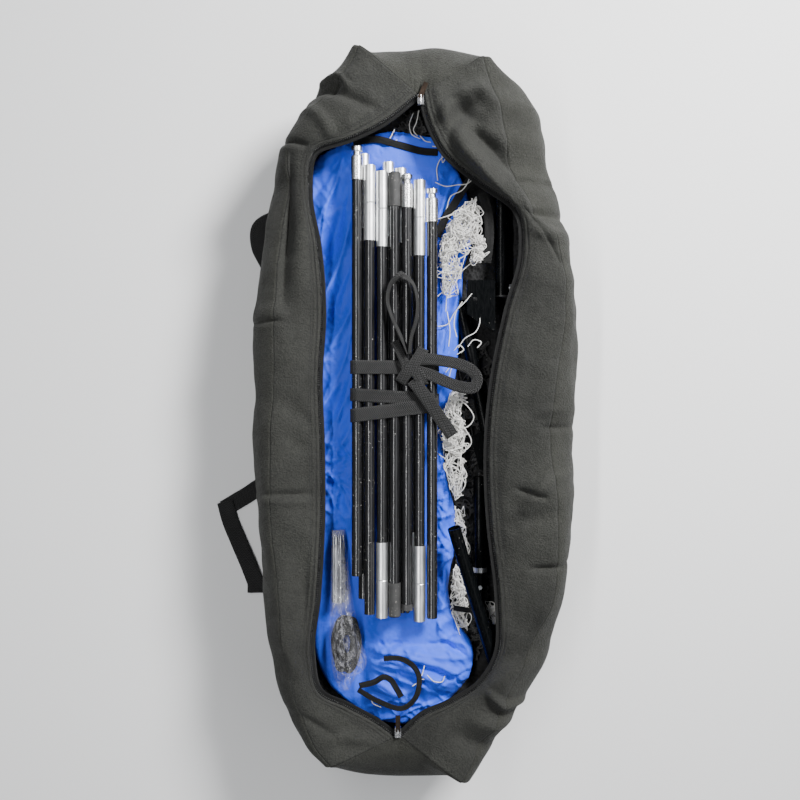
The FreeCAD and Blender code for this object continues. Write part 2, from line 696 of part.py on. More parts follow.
def build_ties():
    keep(group("tie_rings", [tie_band(f"tie_band_{name}", y) for name, y in TIE_Y.items()]),
         "tie_bands")
    width, thick = size("webbing_w"), size("webbing_t")
    runs = [band(BOW_LOOP, 10, 2.0, upright=True), band(BOW_RIGHT, width, thick),
            band(BOW_TAIL, width, thick), Part.makeBox(*(KNOT_HIGH - KNOT_LOW), KNOT_LOW)]
    solid_feature("tie_bow", runs[0].multiFuse(runs[1:]).removeSplitter())


# ---------------------------------------------------------------- base frame

UPRIGHT_X, UPRIGHT_Z, UPRIGHT_Y = 131.0, 122.0, (176.0, 339.0)
PIVOT_Y = 188.0
FOOT_WEB_Z = 148.0
BRACKET_X = (77.0, 118.6)
BRACKET_Y = (120.0, 196.0)
LEG_MIDDLE = (V(68, 168, 122), V(110, -36, 120))
LEG_LOWER_X, LEG_LOWER_Z, LEG_LOWER_Y = 98.0, 120.0, (-240.0, -96.0)
INNER_Y = (-322.0, -150.0)
BUTTON_Y = -262.0
SPARE_TOP, SPARE_FOOT = V(56, -166, 180), V(122, -384, 134)
GUSSET_OUTLINE = [(84, -36), (112, -22), (112, -66), (104, -88), (96, -84)]
TOE_SKEW = 26.0         # how far the bracket's toe slants across its width
LIP_H = 10.0
STAKE_Y = 168.0
CAP_RIM, CAP_STEM = 2.5, 8.0
WASHER_GAP = 0.4
BOLT_HEAD, NUT_H = 4.0, 5.0
BUTTON_SEAT = 3.2       # height of the button's flange over the leg's axis


def build_upright():
    """The thick tube under the right lid, cross-drilled for the bracket's bolt."""
    low, high = UPRIGHT_Y
    tube = tube_between("upright", V(UPRIGHT_X, low, UPRIGHT_Z), V(UPRIGHT_X, high, UPRIGHT_Z),
                        "Sizes.leg_od / 2", "Sizes.leg_wall")
    drill = cylinder("upright_drill", "Sizes.bolt_hole / 2", 30.0,
                     V(UPRIGHT_X - 15, PIVOT_Y, UPRIGHT_Z), ALONG_X)
    keep(cut("upright_drilled", tube, drill), "frame_upright")
    caps = []
    for end, y, outwards, inwards in (("foot", low - 0.1, AGAINST_Y, ALONG_Y),
                                      ("head", high + 0.1, ALONG_Y, AGAINST_Y)):
        rim = cylinder(f"cap_{end}_rim", "Sizes.leg_od / 2", CAP_RIM, turn=outwards)
        stem = cylinder(f"cap_{end}_stem", "Sizes.leg_od / 2 - Sizes.leg_wall - 0.1", CAP_STEM,
                        turn=inwards)
        cap = fuse(f"cap_{end}", [rim, stem])
        cap.Placement.Base = V(UPRIGHT_X, y, UPRIGHT_Z)
        caps.append(cap)
    keep(group("cap_pair", caps), "frame_end_caps")


def build_bracket():
    """The folding foot: a channel with a skewed toe, bolted through its deep side."""
    thick = size("plate_t")
    (x0, x1), (y0, y1) = BRACKET_X, BRACKET_Y
    toe = [(x0, y0 + TOE_SKEW), (x1, y0), (x1, y1), (x0, y1)]
    web = raised("bracket_web", toe, FOOT_WEB_Z, "Sizes.plate_t")
    low = UPRIGHT_Z - 10
    side = [(y1, FOOT_WEB_Z + thick), (y0, FOOT_WEB_Z + thick), (y0, FOOT_WEB_Z - 10),
            (PIVOT_Y - 14, low), (PIVOT_Y + 8, low), (y1, FOOT_WEB_Z - 16)]
    deep = extruded("bracket_side", [V(x1 - thick, y, z) for y, z in side], X_AXIS,
                    "Sizes.plate_t")
    shallow = box("bracket_lip", "Sizes.plate_t", y1 - y0 - TOE_SKEW, LIP_H,
                  V(x0, y0 + TOE_SKEW, FOOT_WEB_Z + thick - LIP_H))
    bent = fuse("bracket_bent", [web, deep, shallow])
    stake = cylinder("bracket_stake_hole", "Sizes.stake_hole / 2", 20.0,
                     V(x0 + 12, STAKE_Y, FOOT_WEB_Z - 5))
    pivot = cylinder("bracket_pivot_hole", "Sizes.bolt_hole / 2", 20.0,
                     V(x1 - 10, PIVOT_Y, UPRIGHT_Z), ALONG_X)
    keep(cut("bracket_pressed", bent, fuse("bracket_holes", [stake, pivot])), "foot_bracket")


def build_pivot_bolt():
    """Hex bolt through the bracket's side and the upright, with its nut."""
    inside = BRACKET_X[1] - size("plate_t") - WASHER_GAP
    outside = UPRIGHT_X + size("leg_od") / 2 + WASHER_GAP
    hexagon = {"Polygon": 6, "Circumradius": "Sizes.bolt_d / 2 / cos(30) * 5 / 3"}
    head = made("Part::Prism", "bolt_head", V(inside - BOLT_HEAD, PIVOT_Y, UPRIGHT_Z), ALONG_X,
                Height=BOLT_HEAD, **hexagon)
    shank = cylinder("bolt_shank", "Sizes.bolt_d / 2", outside + NUT_H + 3 - inside,
                     V(inside, PIVOT_Y, UPRIGHT_Z), ALONG_X)
    keep(fuse("bolt_forged", [head, shank]), "bracket_bolt")
    blank = made("Part::Prism", "nut_blank", Height=NUT_H, **hexagon)
    thread = cylinder("nut_thread", "Sizes.bolt_d / 2", NUT_H)
    nut = cut("nut_tapped", blank, thread)
    nut.Placement = FreeCAD.Placement(V(outside, PIVOT_Y, UPRIGHT_Z), ALONG_X)
    keep(nut, "bracket_nut")


def build_middle_leg():
    """A slanting tube with a gusset plate welded on its foot end."""
    tube = tube_between("leg_middle", *LEG_MIDDLE, "Sizes.base_od / 2", "Sizes.base_wall")
    plate_z = LEG_MIDDLE[1].z + size("base_od") / 2 - 0.4
    gusset = raised("leg_middle_gusset", GUSSET_OUTLINE, plate_z, "Sizes.plate_t")
    keep(fuse("leg_middle_welded", [tube, gusset]), "frame_leg_middle")


def build_lower_leg():
    """The lower leg, its collar, and the tube that telescopes in it with a snap button."""
    low, high = LEG_LOWER_Y
    lower = tube_between("leg_lower", V(LEG_LOWER_X, low, LEG_LOWER_Z),
                         V(LEG_LOWER_X, high, LEG_LOWER_Z), "Sizes.base_od / 2",
                         "Sizes.base_wall")
    keep(lower, "frame_leg_lower")
    collar = cut("collar_ring",
                 cylinder("collar_outer", "Sizes.base_od / 2 + 1.3", "Sizes.collar_w"),
                 cylinder("collar_bore", "Sizes.base_od / 2 + 0.05", "Sizes.collar_w"))
    collar.Placement = FreeCAD.Placement(V(LEG_LOWER_X, low + 0.2, LEG_LOWER_Z), ALONG_Y)
    keep(collar, "leg_collar")
    first, last = INNER_Y
    inner = tube_between("leg_inner", V(LEG_LOWER_X, first, LEG_LOWER_Z),
                         V(LEG_LOWER_X, last, LEG_LOWER_Z), "Sizes.inner_od / 2",
                         "Sizes.base_wall")
    drill = cylinder("leg_inner_drill", "Sizes.button_hole / 2", 12.0,
                     V(LEG_LOWER_X, BUTTON_Y, LEG_LOWER_Z))
    keep(cut("leg_inner_drilled", inner, drill), "leg_inner_tube")
    pin = cylinder("button_pin", "Sizes.button_d / 2", 8.0)
    flange = cylinder("button_flange", "Sizes.button_d / 2 + 1", 1.0)
    button = fuse("button_pressed", [pin, flange])
    button.Placement.Base = V(LEG_LOWER_X, BUTTON_Y, LEG_LOWER_Z + BUTTON_SEAT)
    keep(button, "snap_button")


def build_spare_tube():
    keep(tube_between("spare", SPARE_TOP, SPARE_FOOT, "Sizes.base_od / 2", "Sizes.base_wall"),
         "spare_tube")


# ---------------------------------------------------------------- bag of pegs and rope

POLY_OUTLINE = [(-127, -176), (-104, -174), (-99, -215), (-95, -270), (-88, -300), (-78, -345),
                (-71, -376), (-73, -386), (-92, -398), (-97, -416), (-104, -420), (-124, -394),
                (-130, -350), (-126, -290)]
POLY_LOW, POLY_H = 119.0, 32.0
PEG_FOOT_Y = -284.0
PEG_PLACES = [(-121, 127), (-114, 127), (-107, 127), (-117.5, 133.5), (-110.5, 133.5)]
HANK_OUTLINE = [(-120, -300), (-98, -304), (-87, -334), (-79, -372), (-96, -388), (-118, -384),
                (-124, -345)]
HANK_LOW, HANK_H = POLY_LOW + 3, 25.0


def build_poly_bag():
    """A closed bag of thin clear film, hollow for the pegs and the rope."""
    outer = raised("poly_outer", POLY_OUTLINE, POLY_LOW, POLY_H)
    inset = made("Part::Offset2D", "poly_inset", Source=outer.Base, Value="-Sizes.poly_wall",
                 Fill=False)
    inner = extrude("poly_inner", inset, Z_AXIS, f"{POLY_H} - 2 * Sizes.poly_wall")
    inner.Placement.Base.z = size("poly_wall")
    keep(cut("poly_film", outer, inner), "poly_bag")


def build_accessories():
    build_poly_bag()
    pegs = []
    for number, (x, z) in enumerate(PEG_PLACES, start=1):
        base = V(x, PEG_FOOT_Y, z)
        shaft = cylinder(f"peg_{number}_shaft", "Sizes.peg_d / 2", "Sizes.peg_l", base, ALONG_Y)
        point = made("Part::Cone", f"peg_{number}_point", base + V(0, size("peg_l"), 0), ALONG_Y,
                     Radius1="Sizes.peg_d / 2", Radius2=0.4, Height="Sizes.peg_point")
        pegs.append(fuse(f"peg_{number}", [shaft, point]))
    keep(group("peg_set", pegs), "ground_pegs")
    keep(raised("hank", HANK_OUTLINE, HANK_LOW, HANK_H), "rope_hank")


# ---------------------------------------------------------------- build, check, write


def check_document():
    """Stops if any object failed, or any sub-part isn't a valid solid."""
    doc.recompute()
    for obj in doc.Objects:
        if "Invalid" in obj.State or "Error" in obj.State:
            raise RuntimeError(f"{obj.Name} failed: {obj.State}")
    for obj in kept:
        shape = obj.Shape
        if shape.isNull() or not shape.isValid() or shape.Volume <= 0 or not shape.Solids:
            raise RuntimeError(f"{obj.Label} isn't a valid solid")


def write_parts():
    os.makedirs("parts", exist_ok=True)
    for name in os.listdir("parts"):
        if name.endswith(".step"):
            os.remove(os.path.join("parts", name))
    for obj in kept:
        obj.Shape.exportStep(os.path.join("parts", obj.Label + ".step"))
    print(len(kept), "sub-parts written")


build_holdall()
build_zip()
build_handles()
build_soft_goods()
build_poles()
build_ties()
build_upright()
build_bracket()
build_pivot_bolt()
build_middle_leg()
build_lower_leg()
build_spare_tube()
build_accessories()
check_document()
write_parts()
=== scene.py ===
import json
import math

import bpy
import numpy as np
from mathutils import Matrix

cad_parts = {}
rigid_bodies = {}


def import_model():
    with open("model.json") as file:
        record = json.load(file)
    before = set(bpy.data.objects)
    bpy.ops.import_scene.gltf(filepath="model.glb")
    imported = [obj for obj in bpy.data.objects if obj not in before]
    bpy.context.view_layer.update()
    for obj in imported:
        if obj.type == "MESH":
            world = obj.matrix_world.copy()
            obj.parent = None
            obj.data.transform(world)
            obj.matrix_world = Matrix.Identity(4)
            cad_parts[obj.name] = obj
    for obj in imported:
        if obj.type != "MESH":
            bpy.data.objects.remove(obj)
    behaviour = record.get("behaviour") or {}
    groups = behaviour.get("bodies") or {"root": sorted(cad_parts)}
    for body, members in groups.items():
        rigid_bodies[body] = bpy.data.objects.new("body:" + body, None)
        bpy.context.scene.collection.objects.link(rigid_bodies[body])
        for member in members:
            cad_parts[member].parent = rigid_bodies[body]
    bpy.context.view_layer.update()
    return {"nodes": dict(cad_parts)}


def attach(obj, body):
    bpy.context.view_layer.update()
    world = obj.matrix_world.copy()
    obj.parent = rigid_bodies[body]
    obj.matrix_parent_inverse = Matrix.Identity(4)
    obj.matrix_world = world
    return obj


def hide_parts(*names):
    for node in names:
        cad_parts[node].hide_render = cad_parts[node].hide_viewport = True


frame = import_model()
MM = 0.001

# %% [markdown]
# The object is a long black holdall, lying open on its back, with a folding field goal packed
# in it: eleven fibreglass poles tied with webbing, a blue target sheet, white net and a steel
# foot bracket. The camera looks straight down from 1.6 m, its top towards +Y. A camera comes
# first because every later choice of detail depends on how near it stands.

# %% Camera
camera_data = bpy.data.cameras.new("camera")
camera_data.lens = 44.2
camera = bpy.data.objects.new("camera", camera_data)
camera.location = (-0.022, 0.019, 1.6)
bpy.context.scene.collection.objects.link(camera)
bpy.context.scene.camera = camera
print("camera", tuple(camera.location), "lens", camera_data.lens)

# %% [markdown]
# Studio light is one soft panel high on the right, beyond the head of the bag. A long narrow
# panel on the left draws a thin bright line down each glossy pole, and a weak one opposite
# keeps the far sides from going black. A pale sky fills the shadows. The floor is one plain
# pale sheet.

# %% Lights and floor


def unit(v):
    """Each vector divided by its length."""
    return v / np.maximum(np.linalg.norm(v, axis=-1, keepdims=True), 1e-12)


def area_light(name, place, size, power, long_side=None):
    """A panel at place that faces the middle of the bag, its long side, if it has one, along
    the bag."""
    data = bpy.data.lights.new(name, "AREA")
    data.size, data.energy = size, power
    light = bpy.data.objects.new(name, data)
    light.location = place
    towards = unit(np.array(BAG_MIDDLE) - np.array(place, float))
    if long_side:
        data.shape, data.size_y = "RECTANGLE", long_side
        light.rotation_euler = (0, math.asin(-towards[0]), 0)
    else:
        turn = math.atan2(towards[1], towards[0]) - math.pi / 2
        light.rotation_euler = (math.acos(-towards[2]), 0, turn)
    bpy.context.scene.collection.objects.link(light)


BAG_MIDDLE = (0.0, 0.0, 0.1)
area_light("key", (1.15, 1.3, 1.55), 0.55, 128)
area_light("streak", (-0.62, 0.0, 1.9), 0.10, 26, 2.6)
area_light("soft_side", (1.1, 0.0, 1.6), 0.7, 8, 2.6)
world = bpy.data.worlds.new("pale_sky")
world.use_nodes = True
sky = world.node_tree.nodes["Background"].inputs
sky["Color"].default_value = (0.86, 0.92, 1.0, 1)
sky["Strength"].default_value = 0.18
bpy.context.scene.world = world

floor_mesh = bpy.data.meshes.new("floor")
floor_mesh.from_pydata([(-6, -6, 0), (6, -6, 0), (6, 6, 0), (-6, 6, 0)], [], [(0, 1, 2, 3)])
floor = bpy.data.objects.new("floor", floor_mesh)
bpy.context.scene.collection.objects.link(floor)
print("stage", floor.name)

# %% [markdown]
# Everything soft here is a surface worked out as a grid of points. Two helpers carry the
# whole lesson: a smooth curve through given points, and a mesh made from a grid. The mesh
# also gets a UV map measured in metres, so that a weave or a stitch has its real size.

# %% Curves and grids


def smooth(points, count):
    """A cubic through the points. The slope at a point is the mean of the slopes of the runs
    on its two sides, each weighted by the length of the other. The points may be rows of any
    shape, and all of them share one parameter, the mean distance along. A single path comes
    back with its points evenly spaced."""
    p = np.asarray(points, float)
    step = np.sqrt((np.diff(p, axis=0) ** 2).sum(-1)).reshape(len(p) - 1, -1).mean(1)
    t = np.concatenate([[0], np.cumsum(np.maximum(step, 1e-9))])
    h = np.diff(t).reshape((-1,) + (1,) * (p.ndim - 1))
    run = np.diff(p, axis=0) / h
    slope = np.empty_like(p)
    slope[0], slope[-1] = run[0], run[-1]
    slope[1:-1] = (run[:-1] * h[1:] + run[1:] * h[:-1]) / (h[1:] + h[:-1])
    at = np.linspace(0, t[-1], count)
    i = np.clip(np.searchsorted(t, at, side="right") - 1, 0, len(t) - 2)
    f = ((at - t[i]) / (t[i + 1] - t[i])).reshape((-1,) + (1,) * (p.ndim - 1))
    made = ((1 + 2 * f) * (1 - f) ** 2 * p[i] + f * (1 - f) ** 2 * h[i] * slope[i]
            + f * f * (3 - 2 * f) * p[i + 1] + f * f * (f - 1) * h[i] * slope[i + 1])
    return evenly(made, count) if made.ndim == 2 else made


def evenly(path, count):
    """The same path with its points the same distance apart."""
    far = np.concatenate([[0], np.cumsum(np.linalg.norm(np.diff(path, axis=0), axis=1))])
    at = np.linspace(0, far[-1], count)
    return np.stack([np.interp(at, far, path[:, k]) for k in range(path.shape[1])], 1)


def measured_uv(grid):
    """Metres along each row and column, taken as the running sum of the mean step."""
    across = np.linalg.norm(np.diff(grid, axis=1), axis=2).mean(0)
    down = np.linalg.norm(np.diff(grid, axis=0), axis=2).mean(1)
    u = np.concatenate([[0], np.cumsum(across)])
    v = np.concatenate([[0], np.cumsum(down)])
    return np.stack(np.meshgrid(u, v), -1)


def volume(mesh):
    """Six times the volume inside, which is below zero where faces point inwards."""
    mesh.calc_loop_triangles()
    corner = np.empty(len(mesh.loop_triangles) * 3, np.int32)
    mesh.loop_triangles.foreach_get("vertices", corner)
    place = np.empty(len(mesh.vertices) * 3)
    mesh.vertices.foreach_get("co", place)
    a, b, c = place.reshape(-1, 3)[corner].reshape(-1, 3, 3).transpose(1, 0, 2)
    return float((a * np.cross(b, c)).sum())


def make_mesh(name, points, faces, uv=None, closed=False, flat=0):
    """A piece from an array of points and a list of faces, smooth-shaded but for the last few
    flat ones. A closed form with a volume below zero is turned to face outwards."""
    mesh = bpy.data.meshes.new(name)
    mesh.from_pydata(points.reshape(-1, 3).tolist(), [], faces)
    if uv is not None:
        layer = mesh.uv_layers.new(name="metres")
        corner = np.empty(len(mesh.loops), np.int32)
        mesh.loops.foreach_get("vertex_index", corner)
        layer.data.foreach_set("uv", uv.reshape(-1, 2)[corner].astype(np.float32).ravel())
    smooth_face = np.arange(len(faces)) < len(faces) - flat
    mesh.polygons.foreach_set("use_smooth", smooth_face)
    mesh.update()
    if closed and volume(mesh) < 0:
        mesh.flip_normals()
    piece = bpy.data.objects.new(name, mesh)
    bpy.context.scene.collection.objects.link(piece)
    return piece


def grid_faces(rows, columns, turned=False):
    """Four neighbouring grid points make each face."""
    at = np.arange(rows * columns).reshape(rows, columns)
    quads = np.stack([at[:-1, :-1], at[:-1, 1:], at[1:, 1:], at[1:, :-1]], -1).reshape(-1, 4)
    return (quads[:, ::-1] if turned else quads).tolist()


def grid_piece(name, grid, turned=False, wall=0.0):
    """A piece from a grid of points. A wall above 0 gives it that thickness, inwards."""
    piece = make_mesh(name, grid, grid_faces(*grid.shape[:2], turned), measured_uv(grid))
    if wall:
        solid = piece.modifiers.new("wall", "SOLIDIFY")
        solid.thickness = wall
        solid.offset = -1
    return piece


def finish_piece(piece, body, material, slot, *nodes):
    """Gives a piece its body and its finish, and hides the CAD nodes that it stands for, if any."""
    piece.data.materials.append(material)
    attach(piece, body)
    if any(nodes):
        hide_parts(*nodes)
    print(piece.name, "faces", len(piece.data.polygons), "on", body)
    return piece


bend = smooth([(0, 0, 0), (1, 0, 0), (1, 1, 0)], 5)
print("five points round a corner", bend.round(2).tolist())

# %% [markdown]
# Cloth is never flat. Three sums of simple functions give it life: slow waves for slack, a
# ridged noise for creases, and single folds laid one by one where the cloth is pulled or pressed.
# All of them are heights added to a grid, so one line of numpy covers thousands of points.

# %% Slack, creases and folds


def waves(x, y, size, seed, count=14):
    """Slow waves of about that size: a sum of sines in random directions, about -1 to 1."""
    draw = np.random.default_rng(seed)
    angle = draw.uniform(0, 2 * np.pi, count)
    length = size * draw.uniform(0.7, 1.6, count)
    start = draw.uniform(0, 2 * np.pi, count)
    total = np.zeros_like(x)
    for a, l, s in zip(angle, length, start):
        total += np.sin((x * np.cos(a) + y * np.sin(a)) * 2 * np.pi / l + s)
    return total / math.sqrt(count)


def lattice_noise(x, y, seed):
    """Random heights at whole numbers, joined by smooth steps, from 0 to 1."""
    table = np.random.default_rng(seed).random((64, 64))
    i, j = np.floor(x).astype(int), np.floor(y).astype(int)
    f, g = x - i, y - j
    f, g = f * f * (3 - 2 * f), g * g * (3 - 2 * g)
    a, b = table[i % 64, j % 64], table[(i + 1) % 64, j % 64]
    c, d = table[i % 64, (j + 1) % 64], table[(i + 1) % 64, (j + 1) % 64]
    return (a * (1 - f) + b * f) * (1 - g) + (c * (1 - f) + d * f) * g


def creases(x, y, angle, length, width, seed, wander=0.35):
    """Sharp ridges along one direction: one minus the distance of a stretched, wandering
    noise from its middle value, to a power that sharpens the crest. From 0 to 1."""
    c, s = math.cos(angle), math.sin(angle)
    along, over = x * c + y * s, -x * s + y * c
    over = over + wander * width * 2 * (lattice_noise(x / length * 2 + 7, y / length * 2, seed + 1)
                                        - 0.5)
    n = lattice_noise(along / length + 11.3, over / width + 5.7, seed)
    return (1 - np.abs(2 * n - 1)) ** 2.2


def folds(x, y, lines):
    """Single folds, each from one point to another in mm: width, height and bend in mm. The
    height falls off across as a bell, or as a sharp crest where the width is negative, and
    fades towards both ends."""
    total = np.zeros_like(x)
    for x0, y0, x1, y1, width, height, bend in lines:
        start = np.array([x0, y0]) * MM
        run = np.array([x1, y1]) * MM - start
        length = np.hypot(*run)
        c, s = run / length
        along = ((x - start[0]) * c + (y - start[1]) * s) / length
        inside = np.clip(along, 0, 1)
        across = (-(x - start[0]) * s + (y - start[1]) * c) - bend * MM * 4 * inside * (1 - inside)
        beyond = (along - inside) * length
        far = np.hypot(across, beyond) / (abs(width) * MM)
        bell = np.exp(-far) if width < 0 else np.exp(-far * far)
        fade = np.sin(np.pi * (0.12 + 0.76 * inside)) ** 0.7
        total += height * MM * bell * fade
    return total


def grid_normals(grid):
    """At each grid point, the cross product of the steps to its neighbours."""
    down, across = np.gradient(grid, axis=0), np.gradient(grid, axis=1)
    return unit(np.cross(down, across))


sample = np.linspace(0, 0.2, 5)
print("waves along a row", waves(sample, sample, 0.1, 1).round(2))
print("one fold along a row", folds(sample, 0 * sample, [(0, 0, 200, 0, 10, 5, 0)]).round(4))


# %% [markdown]
# Finishes share a few effects, each one a node group with named inputs: a woven surface, the
# ribs of webbing, stray dust, and slow changes of shade. A group hands out only masks and
# heights, and the shader stays in the material, where its plain numbers are set on it.

# %% Tools for node trees


def node(tree, kind, inputs, **properties):
    """Adds a node. Each input, named or numbered, takes a number, a colour or the output of
    another node."""
    made = tree.nodes.new("ShaderNode" + kind)
    for key, value in properties.items():
        setattr(made, key, value)
    for key, value in inputs.items():
        if isinstance(value, bpy.types.NodeSocket):
            tree.links.new(value, made.inputs[key])
        else:
            made.inputs[key].default_value = value
    return made


def math_node(tree, operation, *values):
    """One sum on numbers or on other nodes' outputs."""
    return node(tree, "Math", dict(enumerate(values)), operation=operation).outputs[0]


def split(tree, vector):
    """The X, Y and Z of a vector."""
    return node(tree, "SeparateXYZ", {0: vector}).outputs


def noise(tree, vector, scale, detail=2.0, distortion=0.0):
    """A noise of that many lumps to the metre, from 0 to 1."""
    return node(tree, "TexNoise", {"Vector": vector, "Scale": scale, "Detail": detail,
                                   "Distortion": distortion}).outputs["Fac"]


def mapped(tree, value, low, high, to_low=0.0, to_high=1.0):
    """A value's run from low to high, spread from to_low to to_high and held at both."""
    return node(tree, "MapRange", {"Value": value, "From Min": low, "From Max": high,
                                   "To Min": to_low, "To Max": to_high}).outputs[0]


def mix(tree, share, one, two, blend="MIX"):
    """Colour one changed to colour two, or multiplied by it, by a share from 0 to 1."""
    return node(tree, "Mix", {0: share, 6: one, 7: two}, data_type="RGBA",
                blend_type=blend).outputs[2]


def group(name, output, **numbers):
    """An empty node group that takes a vector and numbers, each with its usual value, and puts
    out one number."""
    tree = bpy.data.node_groups.new(name, "ShaderNodeTree")
    tree.interface.new_socket("Vector", in_out="INPUT", socket_type="NodeSocketVector")
    for label, usual in numbers.items():
        socket = tree.interface.new_socket(label, in_out="INPUT", socket_type="NodeSocketFloat")
        socket.default_value = usual
    tree.interface.new_socket(output, in_out="OUTPUT", socket_type="NodeSocketFloat")
    return tree, tree.nodes.new("NodeGroupInput"), tree.nodes.new("NodeGroupOutput")


def weave_group():
    """Threads over and under: the product of two sines of the thread size, from 0 to 1."""
    tree, given, out = group("weave", "Height", Thread=0.0008)
    parts = split(tree, given.outputs["Vector"])
    rate = math_node(tree, "DIVIDE", 2 * math.pi, given.outputs["Thread"])
    one, two = [math_node(tree, "SINE", math_node(tree, "MULTIPLY", parts[axis], rate))
                for axis in "XY"]
    both = math_node(tree, "MULTIPLY", one, two)
    tree.links.new(math_node(tree, "MULTIPLY_ADD", both, 0.5, 0.5), out.inputs["Height"])
    return tree


def rib_group():
    """Herringbone ribs of webbing: a sine of the distance along plus a zigzag of the distance
    across, which turns back every 3.5 mm."""
    tree, given, out = group("ribs", "Height", Pitch=0.0016)
    parts = split(tree, given.outputs["Vector"])
    slant = math_node(tree, "ADD", parts["Y"], math_node(tree, "PINGPONG", parts["X"], 0.0035))
    rate = math_node(tree, "DIVIDE", 2 * math.pi, given.outputs["Pitch"])
    wave = math_node(tree, "SINE", math_node(tree, "MULTIPLY", slant, rate))
    tree.links.new(math_node(tree, "MULTIPLY_ADD", wave, 0.5, 0.5), out.inputs["Height"])
    return tree


def shade_group():
    """Slow changes of shade: a noise of the given size, spread between Low and High."""
    tree, given, out = group("slow_shade", "Value", Scale=6.0, Low=0.9, High=1.1)
    cloud = noise(tree, given.outputs["Vector"], given.outputs["Scale"], 5.0)
    spread = mapped(tree, cloud, 0.3, 0.7, given.outputs["Low"], given.outputs["High"])
    tree.links.new(spread, out.inputs["Value"])
    return tree


def dust_group():
    """Stray flecks and scratches: fine noise, kept only above a level that Amount lowers."""
    tree, given, out = group("dust", "Mask", Scale=300.0, Amount=0.1)
    fine = noise(tree, given.outputs["Vector"], given.outputs["Scale"], 4.0)
    level = math_node(tree, "MULTIPLY_ADD", given.outputs["Amount"], -0.3, 0.84)
    slow = noise(tree, given.outputs["Vector"], 18.0)
    level = math_node(tree, "MULTIPLY_ADD", slow, -0.2, level)
    sharp = math_node(tree, "MULTIPLY", math_node(tree, "SUBTRACT", fine, level), 14.0)
    tree.links.new(node(tree, "Clamp", {0: sharp}).outputs[0], out.inputs["Mask"])
    return tree


WEAVE, RIBS, SHADE, DUST = weave_group(), rib_group(), shade_group(), dust_group()


def use(tree, which, vector, **values):
    """Places a group in a material with its own values."""
    return node(tree, "Group", {"Vector": vector, **values}, node_tree=which).outputs[0]


def shades(tree, vector, scale, low, high):
    """The group for slow changes of shade, with its three numbers."""
    return use(tree, SHADE, vector, Scale=scale, Low=low, High=high)


def new_material(name, **shader_values):
    """A material with its tree, its shader, and the Object and UV coordinates."""
    material = bpy.data.materials.new(name)
    material.use_nodes = True
    tree = material.node_tree
    shader = tree.nodes["Principled BSDF"]
    for key, value in shader_values.items():
        shader.inputs[key.replace("_", " ")].default_value = value
    place = node(tree, "TexCoord", {})
    return material, tree, shader, place.outputs["Object"], place.outputs["UV"]


def colour_by(tree, value, dark, light):
    """A colour between dark and light by a value from 0 to 1."""
    return mix(tree, value, (*dark, 1), (*light, 1))


def feed(tree, shader, colour, rough, heights):
    """Feeds a shader its colour and roughness, and bump nodes in a row for its normal, each
    (height, depth in metres)."""
    tree.links.new(colour, shader.inputs["Base Color"])
    tree.links.new(rough, shader.inputs["Roughness"])
    last = {}
    for height, depth in heights:
        made = node(tree, "Bump", {"Height": height, "Strength": 1.0, "Distance": depth, **last})
        last = {"Normal": made.outputs[0]}
    if last:
        tree.links.new(last["Normal"], shader.inputs["Normal"])


print("groups", [t.name for t in bpy.data.node_groups])

# %% [markdown]
# The holdall is woven polyester, black but grey in daylight, because each thread's rounded top
# scatters light. Its cloth material has a fine weave, a soft sheen and slow changes of shade.
# Beside the zip, four rows of lockstitch hold the tape and its facing. They are worked out
# from the UV map, whose first number is the distance from the zip in metres.

# %% Cloth of the bag


def cloth_material(name, dark, light, stitched):
    """Matt woven cloth. Stitched adds rows of lockstitch beside the zip edge."""
    material, tree, shader, place, uv = new_material(
        name, Roughness=0.82, Sheen_Weight=0.05, Sheen_Roughness=0.45, Specular_IOR_Level=0.3)
    mottle = shades(tree, place, 420.0, 0.0, 1.0)
    weave = use(tree, WEAVE, uv, Thread=0.0011)
    colour = colour_by(tree, shades(tree, place, 9.0, 0.0, 1.0), dark, light)
    weave_painted_light = colour_by(tree, weave, (0.6, 0.6, 0.6), (1, 1, 1))
    specks = colour_by(tree, mottle, (0.45, 0.45, 0.45), (1, 1, 1))
    # The threads' raised tops are painted lighter and the hollows between them darker: painted light and
    # shade at the scale of the weave.
    colour = mix(tree, 0.3, colour, weave_painted_light, "MULTIPLY")
    colour = mix(tree, 1.0, colour, specks, "MULTIPLY")
    heights = [(noise(tree, place, 55.0, 5.0), 0.0024), (mottle, 0.0009), (weave, 0.00022)]
    if stitched:
        parts = split(tree, uv)
        rows = 0.0
        for row in STITCH_ROWS:
            near = math_node(tree, "COMPARE", parts["X"], row, STITCH_WIDTH)
            rows = math_node(tree, "MAXIMUM", rows, near)
        along = math_node(tree, "FRACT", math_node(tree, "DIVIDE", parts["Y"], STITCH_LENGTH))
        stitch = math_node(tree, "MULTIPLY", rows, math_node(tree, "LESS_THAN", along, 0.72))
        colour = mix(tree, stitch, colour, (0.012, 0.012, 0.012, 1))
        heights.append((stitch, 0.0004))
    feed(tree, shader, colour, shades(tree, place, 60.0, 0.74, 0.9), heights)
    return material


STITCH_ROWS, STITCH_WIDTH, STITCH_LENGTH = (0.0035, 0.0062, 0.0105, 0.0135), 0.0004, 0.0034
LID_CLOTH = cloth_material("lid_cloth", (0.024, 0.0245, 0.0215), (0.042, 0.043, 0.037), True)
# The wall cloth is a slightly darker copy of the lid cloth: painted shade on the steep walls, also used for
# the ends and the base.
WALL_SHADED_CLOTH = cloth_material("wall_cloth_painted_shade", (0.024, 0.0245, 0.0200), (0.040, 0.041, 0.034), False)
# The seam cloth is near black, far darker than the bag's cloth: painted shadow along the piped seams.
SEAM_SHADOW_CLOTH = cloth_material("seam_painted_shadow", (0.004, 0.004, 0.004), (0.008, 0.008, 0.007), False)
print("materials", LID_CLOTH.name, WALL_SHADED_CLOTH.name, SEAM_SHADOW_CLOTH.name)

